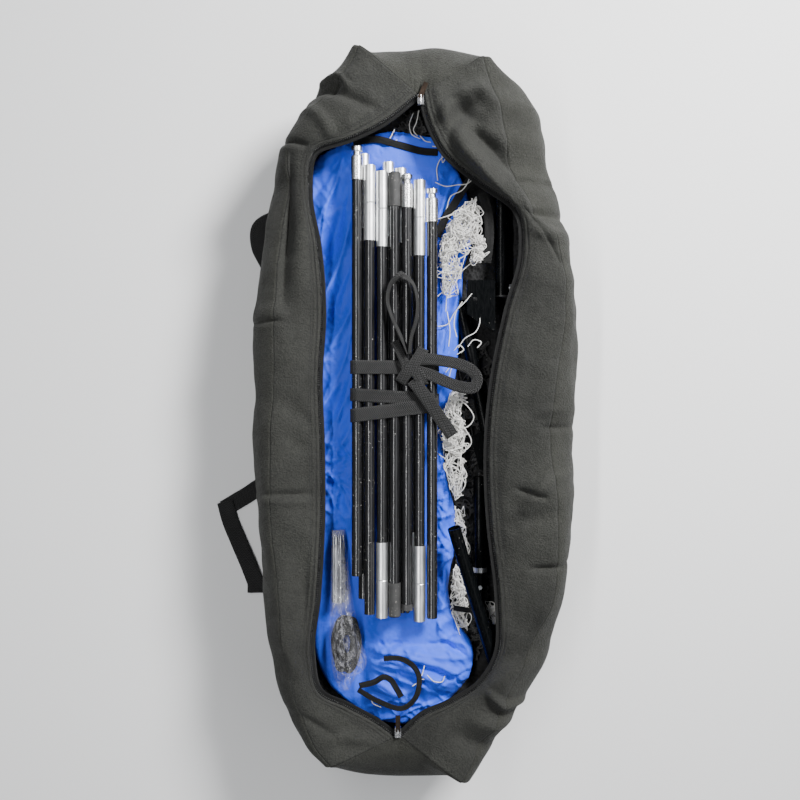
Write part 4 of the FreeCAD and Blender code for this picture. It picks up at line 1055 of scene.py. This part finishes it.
# %% Nylon
NYLON, tree, shader, place, uv = new_material("blue_nylon", Roughness=0.40, Sheen_Weight=0.04,
                                              Specular_IOR_Level=0.26)
blue = colour_by(tree, shades(tree, place, 11.0, 0.0, 1.0), (0.030, 0.092, 0.76),
                 (0.044, 0.128, 0.95))
feed(tree, shader, blue, shades(tree, place, 70.0, 0.38, 0.52),
     [(noise(tree, place, 70.0, 3.0), 0.0016), (use(tree, WEAVE, uv, Thread=0.0006), 0.0001)])
sheet_piece = grid_piece("target_sheet_cloth", sheet, True, 0.0006)
finish_piece(sheet_piece, "holdall", NYLON, "blue_nylon", "target_sheet")

# %% [markdown]
# Under and beside the sheet lies the folded net: a dark heap of black knotted cord and cloth.
# From above it reads as lumps of near-black with cords over it. It is one closed form, its
# top a bed of soft lumps and its sides falling to the bag's floor.

# %% Heap of folded net
HEAP_LEFT = [(-80, -462), (-130, -430), (-162, -395), (-185, -330), (-192, -150), (-196, 50),
             (-192, 240), (-170, 330), (-120, 420), (-60, 462)]
HEAP_RIGHT = [(45, -462), (104, -420), (140, -376), (168, -300), (188, -150), (192, 60),
              (190, 220), (160, 320), (115, 410), (66, 462)]
HEAP_FLOOR, HEAP_Z, HEAP_CAP, HEAP_RISE = 0.0045, 0.100, 0.1085, 0.018


def closed_form(name, top, floor_z):
    """A closed block under a grid: the grid, a skirt of its border down to the floor height,
    and one face below."""
    rows, columns = top.shape[:2]
    at = np.arange(rows * columns).reshape(rows, columns)
    border = np.concatenate([at[0, :-1], at[:-1, -1], at[-1, :0:-1], at[:0:-1, 0]])
    points = top.reshape(-1, 3)
    lower = points[border].copy()
    lower[:, 2] = floor_z
    below = rows * columns + np.arange(len(border))
    skirt = np.stack([border, below, np.roll(below, -1), np.roll(border, -1)], 1)
    faces = grid_faces(rows, columns) + skirt.tolist() + [below[::-1].tolist()]
    return make_mesh(name, np.concatenate([points, lower]), faces, closed=True)


plan = between_edges(HEAP_LEFT, HEAP_RIGHT, 260, 120)
x, y = plan[..., 0], plan[..., 1]
lumps = (waves(x, y, 0.05, 71) * 2.2 + waves(x, y, 0.022, 72) * 1.1
         + creases(x, y, 1.3, 0.08, 0.02, 73) * 5)
heap = np.stack([x, y, np.minimum(HEAP_Z + lumps * MM, HEAP_CAP)], -1)
rise = step_up(0.02 - np.abs(y - 0.438), 0.02) * step_up(0.08 - np.abs(x), 0.03)
heap[..., 2] += rise * HEAP_RISE

HEAP, tree, shader, place, uv = new_material("folded_net", Roughness=0.8, Sheen_Weight=0.1,
                                             Specular_IOR_Level=0.3)
# The colour follows the knotted relief: lighter on the raised cords and darker in the pits between them, a
# painted shade, and it changes slowly at random.
knotted = node(tree, "TexVoronoi", {"Vector": place, "Scale": 170.0}).outputs["Distance"]
relief_shade_and_tone = math_node(tree, "MULTIPLY", knotted, shades(tree, place, 30.0, 0.3, 1.0))
feed(tree, shader, colour_by(tree, relief_shade_and_tone, (0.004, 0.004, 0.0045), (0.022, 0.022, 0.023)),
     shades(tree, place, 60.0, 0.65, 0.9), [(knotted, 0.003)])
finish_piece(closed_form("net_heap", heap, HEAP_FLOOR), "holdall", HEAP, "net_cord",
             "folded_net_core")

# %% [markdown]
# Net is cord tied in knots. Pressed together, it is a tangle in which every knot still sends
# four cords out. So each tangle here starts with knots scattered in a ground-plan outline,
# joins every knot to its nearest neighbours, and lets each cord sag sideways on its way. All
# cords of a tangle are one array, and a knot is a short fat cord.

# %% Net cord
CORD_SIDES, CORD_UP = 5, (0.31, -0.22, 0.92)
KNOT_SWELL = np.array([0.5, 1.1, 1.3, 1.1, 0.5])


def scattered(outline, low, high, count, seed):
    """Points drawn inside a ground-plan outline in mm and between two heights in mm."""
    draw = np.random.default_rng(seed)
    outline = np.array(outline, float)
    xy = draw.uniform(outline.min(0), outline.max(0), (count * 6, 2))
    inside = signed_distance(xy[:, 0], xy[:, 1], outline) > 1.5
    xy = xy[inside][:count]
    z = draw.uniform(low, high, len(xy))
    return np.concatenate([xy, z[:, None]], 1) * MM, draw


def tangle(outline, low, high, knots, near, slack, seed, stations=9):
    """Cord paths from each knot to some of its nearest knots: a curve of three points, its
    middle moved sideways by a share of the slack."""
    place, draw = scattered(outline, low, high, knots, seed)
    gap = np.linalg.norm(place[:, None] - place[None], axis=2)
    order = np.argsort(gap, axis=1)[:, 1:near + 1]
    pick = draw.integers(0, near, (len(place), 2))
    pairs = np.concatenate([np.stack([np.arange(len(place)),
                                      order[np.arange(len(place)), pick[:, k]]], 1)
                            for k in range(2)])
    start, end = place[pairs[:, 0]], place[pairs[:, 1]]
    middle = (start + end) / 2 + draw.normal(0, slack * MM, start.shape) * [1, 1, 0.4]
    t = np.linspace(0, 1, stations)[None, :, None]
    paths = ((1 - t) ** 2 * start[:, None] + 2 * t * (1 - t) * middle[:, None]
             + t * t * end[:, None])
    paths[..., 2] = np.clip(paths[..., 2], low * MM, high * MM)
    return paths, place


def cords(name, paths, radius, knots=None):
    """Cords and knots as one piece. A knot is a cord of four short runs that swells."""
    profile = ring(radius * MM, CORD_SIDES)
    piece = tube_mesh(name, sweep(paths, profile, CORD_UP))
    if knots is None:
        return piece
    turn = np.arange(len(knots)) * 2.4
    away = np.stack([np.cos(turn), np.sin(turn), 0 * turn], 1) * radius * 1.9 * MM
    short = knots[:, None] + away[:, None] * np.linspace(-1, 1, 5)[None, :, None]
    swell = np.broadcast_to(KNOT_SWELL, (len(knots), 5))
    fat = tube_mesh(name + "_knots", sweep(short, profile, CORD_UP, swell))
    fat.parent = piece
    return piece


def cord_material(name, dark, light):
    """Braided cord: fine slanting ribs and a soft sheen. The colour is painted darker in the
    grooves between the ribs, a painted shade, and it changes slowly at random.
    """
    material, tree, shader, place, uv = new_material(name, Roughness=0.75, Sheen_Weight=0.2)
    ribs = use(tree, RIBS, uv, Pitch=0.0014)
    groove_painted_shade = math_node(tree, "MULTIPLY_ADD", ribs, 0.4, 0.6)
    relief_shade_and_tone = math_node(tree, "MULTIPLY", groove_painted_shade, shades(tree, place, 60.0, 0.45, 1.0))
    feed(tree, shader, colour_by(tree, relief_shade_and_tone, dark, light), shades(tree, place, 90.0, 0.65, 0.85),
         [(ribs, 0.0004)])
    return material


WHITE_CORD = cord_material("white_cord", (0.62, 0.60, 0.56), (0.97, 0.96, 0.93))
BLACK_CORD = cord_material("black_cord", (0.006, 0.006, 0.006), (0.045, 0.045, 0.045))


def net_piece(name, paths, knots, radius, material, cad=None):
    """A tangle with its finish."""
    piece = cords(name, paths, radius, knots)
    for child in piece.children:
        child.data.materials.append(material)
    return finish_piece(piece, "holdall", material, "net_cord", cad)


# %% [markdown]
# The upper bunch is dense where the net is gathered and opens into loops below. The lower
# bunch hangs in long loops, and three small ones show beside the legs near the foot.

# %% White net
UPPER_DENSE = [(34, 232), (40, 262), (62, 300), (84, 322), (97, 312), (99, 286), (86, 262),
               (66, 250), (48, 222), (36, 210)]
UPPER_OPEN = [(34, 176), (38, 232), (64, 262), (98, 292), (100, 246), (92, 234), (70, 230),
              (71, 196), (66, 176), (50, 168)]
UPPER_SIDE = [(78, 222), (88, 240), (100, 272), (104, 240), (103, 223)]
LOWER_DENSE = [(35, -40), (38, 4), (62, 40), (74, 30), (72, -20), (62, -56), (46, -60)]
LOWER_HANG = [(38, -50), (40, -20), (72, -6), (76, -60), (74, -118), (58, -136), (48, -104)]
FOOT_NET = [(50, -286), (58, -226), (70, -230), (84, -280), (84, -330), (66, -336), (54, -310)]
HEAP_NET = [(58, -140), (76, -140), (84, -215), (70, -225), (60, -190)]
CORNER_NET = [(108, -282), (124, -286), (126, -322), (112, -318)]
WHITE_RADIUS = 0.62
# Each has its outline, its lowest and highest mm, its knots, how many neighbours a cord may go
# to, its slack in mm, its seed, and the CAD node that it stands for.
WHITE_TANGLES = (("net_upper_dense", UPPER_DENSE, 136.5, 160.0, 250, 60, 9.0, 81, "net_bunch_upper"),
                 ("net_upper_open", UPPER_OPEN, 138.0, 155.0, 90, 30, 11.0, 82, None),
                 ("net_upper_side", UPPER_SIDE, 140.0, 158.0, 90, 36, 7.0, 83, None),
                 ("net_lower_dense", LOWER_DENSE, 137.0, 156.0, 140, 50, 9.0, 84, "net_bunch_lower"),
                 ("net_lower_hang", LOWER_HANG, 128.0, 150.0, 110, 28, 10.0, 85, None),
                 ("net_foot", FOOT_NET, 112.0, 131.0, 105, 34, 6.0, 86, None),
                 ("net_heap_white", HEAP_NET, 110.0, 126.0, 60, 20, 7.0, 87, None),
                 ("net_foot_corner", CORNER_NET, 112.0, 124.0, 36, 16, 5.0, 88, None))
for name, outline, low, high, knots, near, slack, seed, cad in WHITE_TANGLES:
    paths, place_of_knots = tangle(outline, low, high, knots, near, slack, seed)
    net_piece(name, paths, place_of_knots, WHITE_RADIUS, WHITE_CORD, cad)

# %% [markdown]
# Single cords stray from the bunches: loops over the poles' edge, strands across the dark
# heap, and bits at the head gap and on the mound. Each is a listed path.

# %% Stray cords
STRAYS = [[(40, 388, 138), (42, 372, 140), (46, 378, 141), (52, 384, 141)],
          [(34, 345, 141), (33, 365, 142), (40, 378, 143), (54, 382, 143), (62, 372, 142), (70, 368, 141)],
          [(30, 342, 143), (46, 336, 143), (62, 338, 143), (78, 340, 143), (90, 352, 142)],
          [(82, 366, 142), (80, 345, 143), (70, 330, 143), (54, 322, 142), (46, 300, 141), (38, 286, 141)],
          [(34, 288, 141), (48, 292, 142), (58, 296, 144)],
          [(33, 172, 142), (44, 182, 143), (58, 198, 144), (74, 214, 144), (86, 224, 144)],
          [(46, 150, 141), (47, 178, 142), (44, 206, 143), (50, 232, 144)],
          [(44, 244, 143), (40, 224, 143), (46, 210, 143), (53, 216, 143), (50, 230, 143)],
          [(33, 128, 141), (46, 130, 142), (60, 150, 150), (76, 166, 152), (84, 176, 150)],
          [(62, 112, 145), (58, 130, 147), (62, 152, 149), (70, 164, 150)],
          [(50, 98, 143), (52, 120, 144), (48, 150, 143)],
          [(64, 96, 148), (74, 110, 150), (90, 120, 151), (96, 138, 150), (92, 152, 149)],
          [(78, 98, 149), (88, 108, 150), (98, 104, 150), (92, 96, 149)],
          [(58, 92, 146), (66, 100, 148), (72, 94, 148), (62, 86, 146)],
          [(46, 60, 141), (54, 70, 142), (50, 50, 141)],
          [(66, 20, 140), (80, 8, 137), (88, -8, 135), (80, -20, 134), (66, -24, 134)],
          [(60, -10, 142), (76, -26, 140), (84, -46, 136), (74, -56, 136), (60, -44, 138)],
          [(46, -60, 138), (50, -100, 134), (62, -124, 130), (74, -112, 130), (72, -80, 134), (62, -54, 138)],
          [(52, -62, 140), (58, -92, 138), (68, -100, 137), (70, -70, 138)],
          [(-2, 446, 140), (-8, 428, 138), (-4, 414, 137), (8, 408, 137)],
          [(6, 448, 146), (2, 430, 142), (-2, 420, 139), (4, 412, 138)],
          [(8, 412, 138), (16, 404, 139), (24, 402, 140)],
          [(-40, 402, 139), (-34, 414, 138), (-30, 422, 137)], [(-38, 402, 139), (-26, 406, 138)],
          [(26, 396, 141), (34, 394, 142), (38, 388, 141)],
          [(14, -372, 153), (10, -386, 154), (2, -398, 155), (-4, -402, 155)],
          [(2, -384, 154), (6, -392, 154), (14, -392, 154)],
          [(18, -386, 153), (30, -396, 153), (40, -396, 153), (44, -388, 152)],
          [(-66, -418, 148), (-62, -430, 146), (-50, -436, 146)]]


def stray_paths(lines, stations=40):
    """Every stray as a smooth path of the same number of stations, never below the sheet."""
    paths = np.stack([smooth(np.array(line, float) * MM, stations) for line in lines])
    lying = sheet_height(paths[..., 0], paths[..., 1]) + 0.9 * MM
    paths[..., 2] = np.maximum(paths[..., 2], lying)
    return paths


net_piece("stray_cords", stray_paths(STRAYS), None, 0.8, WHITE_CORD)

# %% [markdown]
# The heap below is dark net too. A sparse tangle of thicker black cord over it breaks up its
# outline and catches a little light, where thousands of whole meshes would cost too much.

# %% Black net over the heap
BLACK_RIGHT = [(60, 60), (112, 120), (124, 60), (118, -60), (112, -240), (104, -330), (60, -326),
               (62, -200), (74, -60)]
BLACK_HEAD = [(-46, 404), (30, 396), (16, 440), (2, 456), (-20, 440)]
BLACK_FOOT = [(84, -300), (112, -250), (116, -330), (98, -380), (82, -372)]
for name, outline, low, high, knots, near, slack, seed in (
        ("net_black_right", BLACK_RIGHT, 103.0, 110.0, 420, 7, 7.0, 91),
        ("net_black_head", BLACK_HEAD, 112.0, 128.0, 110, 7, 7.0, 92),
        ("net_black_foot", BLACK_FOOT, 103.0, 112.0, 110, 7, 6.0, 93)):
    paths, place_of_knots = tangle(outline, low, high, knots, near, slack, seed)
    net_piece(name, paths, place_of_knots, 1.0, BLACK_CORD)

# %% [markdown]
# Black tape edges the sheet at the head and lies in loops at the foot corner, where the net's
# ties are gathered. A wide black band also borders the white net on two sides.

# %% Tapes on the sheet and net
BINDING = [(-92, 402, 139), (-62, 407, 139), (-22, 398, 139), (10, 389, 140), (34, 386, 141)]
CORNER_LOOP = [(-84, -408, 152), (-55, -424, 154), (-15, -434, 154), (0, -420, 156),
               (6, -402, 157), (5, -384, 157), (-4, -370, 156), (-20, -362, 155), (-46, -362, 153)]
CORNER_TAIL = [(-82, -402, 153), (-60, -396, 155), (-44, -388, 157), (-36, -392, 157),
               (-28, -404, 156), (-20, -418, 155)]
EDGE_LEFT = [(33, 262, 140), (44, 286, 141), (60, 312, 142), (78, 340, 142), (92, 352, 141)]
EDGE_RIGHT = [(100, 326, 146), (107, 300, 148), (110, 262, 148), (106, 222, 146)]
FOOT_STRIP = [(58, -292, 131), (74, -294, 133), (88, -296, 132)]


def on_sheet(route, above):
    """The same route, raised where the sheet's surface needs it."""
    points = np.array(route, float)
    near = [(0, 0), (6, 0), (-6, 0), (0, 6), (0, -6)]
    surface = np.max([sheet_height((points[:, 0] + a) * MM, (points[:, 1] + b) * MM)
                      for a, b in near], axis=0)
    points[:, 2] = np.maximum(points[:, 2], surface / MM + above)
    return points


for name, route, width, thick, cad in (
        ("head_binding", BINDING, 11, 1.6, "sheet_binding"),
        ("corner_loop", CORNER_LOOP, 8, 1.3, "corner_loops"),
        ("corner_tail", CORNER_TAIL, 9, 1.2, None), ("net_edge_left", EDGE_LEFT, 12, 1.5, None),
        ("net_edge_right", EDGE_RIGHT, 14, 1.5, None), ("net_foot_strip", FOOT_STRIP, 8, 1.4, None)):
    finish_piece(strap(name, on_sheet(route, 1.4), width, thick), "holdall", TAPE, "webbing", cad)

# %% [markdown]
# The zip is a coil: one nylon thread wound into a helix and sewn to a tape. Each side shows as
# a fine dark ridge of teeth along the lid's edge. The helix follows the edge of the lid grid,
# so it is worked out from that column: a circle carried along the edge as it turns.

# %% Zip tapes and coils
COIL_RADIUS, COIL_THREAD, COIL_PITCH = 2.2, 0.7, 3.0
TAPE_WIDTH = 10.0
TURN_STEPS = 10


def zip_side(name, lid, side, cad):
    """A tape that reaches in from the lid's edge, and a coil on it. Side is the direction of
    the opening from this edge, 1 or -1 along x."""
    edge = lid[:, 0]
    inward = unit(np.cross(unit(np.gradient(edge, axis=0)), [0, 0, 1])) * side
    share = np.array([-0.35, -0.1, 0.15, 0.4, 0.65, 0.9])[None, :, None]
    tape = edge[:, None] + inward[:, None] * share * TAPE_WIDTH * MM
    tape[..., 2] -= 2.6 * MM
    tape_piece = grid_piece(name + "_tape", tape, side > 0, 0.0009)
    finish_piece(tape_piece, "holdall", TAPE, "zip_coil", cad)
    length = np.linalg.norm(np.diff(edge, axis=0), axis=1).sum()
    turns = int(length / (COIL_PITCH * MM))
    centre = evenly(edge + inward * 1.6 * MM - np.array([0, 0, 1.0]) * MM, turns * TURN_STEPS)
    out = evenly(inward, turns * TURN_STEPS)
    turn = np.arange(len(centre)) * 2 * np.pi / TURN_STEPS
    path = (centre + unit(out) * (np.cos(turn) * COIL_RADIUS * MM)[:, None]
            + np.array([0, 0, 1.0]) * (np.sin(turn) * COIL_RADIUS * 0.6 * MM)[:, None])
    coil = tube_mesh(name + "_coil", sweep(path, ring(COIL_THREAD * MM, 4), (0.3, 0.1, 0.95))[None])
    finish_piece(coil, "holdall", COIL, "zip_coil")
    print(name, "turns", turns)


COIL, tree, shader, place, uv = new_material("zip_coil", Roughness=0.38, Specular_IOR_Level=0.5)
black = colour_by(tree, shades(tree, place, 30.0, 0.0, 1.0), (0.004, 0.004, 0.004),
                  (0.020, 0.020, 0.020))
feed(tree, shader, black, shades(tree, place, 120.0, 0.22, 0.4), [])
zip_side("zip_left", left_lid, 1, "zip_tape_left")
zip_side("zip_right", right_lid, -1, "zip_tape_right")

# %% [markdown]
# The metal and plastic parts keep their own shape from the frame and get a finish each. The
# poles are black glass-fibre tube, glossy under a film of dust and fine scratches that run
# lengthwise. Stretching a noise along the pole gives those scratches their direction.

# %% Skins with a direction


def stretched(tree, place, along):
    """Coordinates multiplied by a number along the bag only. Below 1, it lengthens a noise."""
    return node(tree, "Mapping", {"Vector": place, "Scale": (1, along, 1)}).outputs[0]


def scratched_material(name, dark, light, roughness, coat, dust, along=0.06, gloss=0.5):
    """A glossy dark skin with lengthwise scratches and pale dust."""
    material, tree, shader, place, uv = new_material(
        name, Roughness=roughness, Coat_Weight=coat, Coat_Roughness=0.12, Specular_IOR_Level=gloss)
    lines = noise(tree, stretched(tree, place, along), 420.0, 3.0)
    flecks = use(tree, DUST, place, Scale=330.0, Amount=dust)
    colour = colour_by(tree, mapped(tree, lines, 0.35, 0.75), dark, light)
    feed(tree, shader, mix(tree, flecks, colour, (0.30, 0.29, 0.27, 1)),
         mapped(tree, lines, 0, 1, roughness * 0.75, min(roughness * 1.5, 1)),
         [(lines, 0.00018), (flecks, 0.0002)])
    return material


def metal_material(name, dark, light, roughness, along, worn):
    """Bright plated metal: polishing lines in one direction, cloudy colour and specks."""
    material, tree, shader, place, uv = new_material(name, Metallic=1.0, Roughness=roughness)
    lines = noise(tree, stretched(tree, place, along), 500.0, 3.0)
    specks = use(tree, DUST, place, Scale=420.0, Amount=worn)
    colour = colour_by(tree, shades(tree, place, 45.0, 0.0, 1.0), dark, light)
    feed(tree, shader, mix(tree, specks, colour, (0.12, 0.11, 0.10, 1)),
         mapped(tree, lines, 0, 1, roughness * 0.6, min(roughness * 1.5, 1)),
         [(lines, 0.00012), (specks, 0.0002)])
    return material


def moulded_material(name, dark, light, roughness, grain):
    """Rubber or plastic with a fine moulded grain and a bloom of dust."""
    material, tree, shader, place, uv = new_material(name, Roughness=roughness)
    flecks = use(tree, DUST, place, Scale=260.0, Amount=0.35)
    colour = colour_by(tree, shades(tree, place, 70.0, 0.0, 1.0), dark, light)
    feed(tree, shader, mix(tree, flecks, colour, (0.16, 0.15, 0.14, 1)),
         shades(tree, place, 90.0, roughness * 0.85, roughness * 1.1),
         [(noise(tree, place, 600.0, 3.0), grain)])
    return material


FIBREGLASS = scratched_material("fibreglass", (0.004, 0.004, 0.0045), (0.012, 0.012, 0.013),
                                0.22, 0.5, 0.18)
BLACK_STEEL = scratched_material("black_steel", (0.001, 0.0013, 0.0016),
                                 (0.003, 0.0034, 0.0038), 0.24, 0.0, 0.04, 0.2, 0.10)
ZINC = metal_material("zinc", (0.74, 0.75, 0.76), (0.95, 0.96, 0.96), 0.36, 0.05, 0.16)
TURNED = metal_material("turned_steel", (0.76, 0.76, 0.75), (0.95, 0.95, 0.94), 0.26, 6.0, 0.1)
PEG_STEEL = metal_material("peg_steel", (0.34, 0.35, 0.36), (0.55, 0.56, 0.57), 0.34, 0.05, 0.25)
ZIP_METAL = metal_material("zip_metal", (0.42, 0.42, 0.43), (0.70, 0.70, 0.71), 0.25, 1.0, 0.15)
PULL_METAL = metal_material("pull_metal", (0.020, 0.016, 0.014), (0.085, 0.060, 0.045), 0.32, 1.0, 0.2)
RUBBER = moulded_material("rubber", (0.022, 0.022, 0.022), (0.045, 0.045, 0.044), 0.72, 0.0004)
CAP_PLASTIC = moulded_material("cap_plastic", (0.020, 0.020, 0.021), (0.040, 0.040, 0.040), 0.5, 0.0003)

# %% [markdown]
# A node's name ends with what it is, so the last part of the name picks its finish. Each slot
# of the node takes the new material, and its mesh stays as it came.

# %% Finishes of the frame's own nodes
NODE_FINISH = ((FIBREGLASS, ("_rod",)), (TURNED, ("_tip",)), (RUBBER, ("_boots",)),
               (ZINC, ("_ferrule", "_ferrules", "leg_collar", "snap_button", "bracket_bolt",
                       "bracket_nut")),
               (CAP_PLASTIC, ("_end_cap", "frame_end_caps")),
               (BLACK_STEEL, ("frame_leg_lower", "frame_leg_middle", "frame_upright",
                              "foot_bracket", "leg_inner_tube", "spare_tube")),
               (PEG_STEEL, ("ground_pegs",)),
               (ZIP_METAL, ("zip_slider_head", "zip_slider_foot")),
               (PULL_METAL, ("zip_pull_head", "zip_pull_foot")))
finished = 0
for name, cad_node in frame["nodes"].items():
    for material, endings in NODE_FINISH:
        if name.endswith(endings):
            for place_of in cad_node.material_slots:
                place_of.material = material
            finished += 1
print("nodes with a finish", finished)

# %% [markdown]
# The pegs and the guy rope are packed in a clear film bag. The film is thin, so it is a
# closed form with a see-through, glossy skin whose creases catch the light. The creases are
# also drawn more opaque in pale grey, a painted highlight, and the film is more opaque towards
# its head end. The rope is one hank: turns of braided cord round an oval, each turn a little
# off the last.

# %% Bag of pegs and rope
FILM_LEFT = [(-112, -418), (-121, -396), (-128, -350), (-127, -290), (-126, -240), (-125, -177)]
FILM_RIGHT = [(-98, -416), (-88, -398), (-72, -380), (-80, -342), (-92, -290), (-105, -176)]
plan = between_edges(FILM_LEFT, FILM_RIGHT, 200, 60)
x, y = plan[..., 0], plan[..., 1]
share = np.linspace(-1, 1, 60)[None, :]
crown = np.sqrt(np.clip(1 - share ** 4, 0, 1))
ends = np.sqrt(np.clip(np.sin(np.pi * np.linspace(0.01, 0.99, 200)) * 2.2, 0, 1))[:, None]
FILM_BED, FILM_TOP, FILM_CAP, FILM_FLOOR = 0.1205, 0.137, 0.1525, 0.1196
full = FILM_TOP + 0.011 * step_up(-0.285 - y, 0.03)
crumple = (creases(x, y, 1.2, 0.05, 0.011, 101) * 2.4 + creases(x, y, 0.3, 0.03, 0.008, 102) * 1.8
           + creases(x, y, 2.3, 0.024, 0.006, 103) * 1.4)
film = np.stack([x, y, FILM_BED + (full - FILM_BED) * crown * ends], -1)
film[..., 2] += crumple * MM * crown * ends
film[..., 2] = np.minimum(film[..., 2], FILM_CAP)

FILM, tree, shader, place, uv = new_material(
    "clear_film", Roughness=0.12, Specular_IOR_Level=0.7, Coat_Weight=0.6, Coat_Roughness=0.05)
fine = noise(tree, stretched(tree, place, 0.3), 95.0, 6.0, 0.6)
ridge = math_node(tree, "ABSOLUTE", math_node(tree, "SUBTRACT", fine, 0.5))
# Along the lengthwise creases the film is drawn more opaque in pale grey: a painted highlight.
crease = mapped(tree, ridge, 0.0, 0.055, 0.30, 0.05)
# Beyond y -0.27 m, towards the head end, the film is drawn more opaque.
more_opaque_top = mapped(tree, split(tree, place)["Y"], -0.30, -0.27, 0.0, 0.26)
clear = math_node(tree, "MULTIPLY", math_node(tree, "ADD", crease, more_opaque_top),
                  shades(tree, place, 40.0, 0.6, 1.3))
tree.links.new(clear, shader.inputs["Alpha"])
feed(tree, shader, colour_by(tree, fine, (0.34, 0.34, 0.38), (0.70, 0.70, 0.75)),
     shades(tree, place, 120.0, 0.05, 0.16), [(fine, 0.0035)])
finish_piece(closed_form("film_bag", film, FILM_FLOOR), "accessories", FILM, "film", "poly_bag")

# %% [markdown]
# Every turn of the hank has its own size, skew, start and height, drawn at random from one
# seed, and two small sines make it wander. All turns are one array of paths. The flecks are
# the crossings of a coarse weave pattern, kept only where it is brightest.

# %% Rope hank
HANK_MIDDLE, HANK_HALF = np.array([-102, -344, 133.0]), np.array([21, 43, 9.0])
HANK_TURNS, HANK_STATIONS = 42, 60
draw = np.random.default_rng(111)
turn = np.linspace(0, 2 * np.pi * 0.985, HANK_STATIONS)[None]
size = draw.uniform(0.35, 1.0, (HANK_TURNS, 1))
skew = draw.uniform(-0.3, 0.3, (HANK_TURNS, 1))
start = draw.uniform(0, 2 * np.pi, (HANK_TURNS, 1))
lift = draw.uniform(-1, 1, (HANK_TURNS, 1)) * np.sqrt(1.15 - size ** 2)
angle = turn + start
hank = np.stack([HANK_MIDDLE[0] + HANK_HALF[0] * size * np.cos(angle + skew)
                 + 1.6 * np.sin(3 * angle + start),
                 HANK_MIDDLE[1] + HANK_HALF[1] * size * np.sin(angle) + 1.6 * np.cos(2 * angle),
                 HANK_MIDDLE[2] + HANK_HALF[2] * lift + 1.3 * np.sin(5 * angle + start * 3)], -1) * MM
ROPE, tree, shader, place, uv = new_material("flecked_rope", Roughness=0.7, Sheen_Weight=0.02)
spotted = math_node(tree, "GREATER_THAN", use(tree, WEAVE, uv, Thread=0.0042), 0.90)
feed(tree, shader, colour_by(tree, spotted, (0.002, 0.002, 0.002), (0.50, 0.49, 0.46)),
     shades(tree, place, 90.0, 0.6, 0.8), [(use(tree, RIBS, uv, Pitch=0.0018), 0.0006)])
hank_piece = tube_mesh("rope_turns", sweep(hank, ring(1.5 * MM, 6), (0.2, 0.1, 0.97)))
finish_piece(hank_piece, "accessories", ROPE, "rope", "rope_hank")
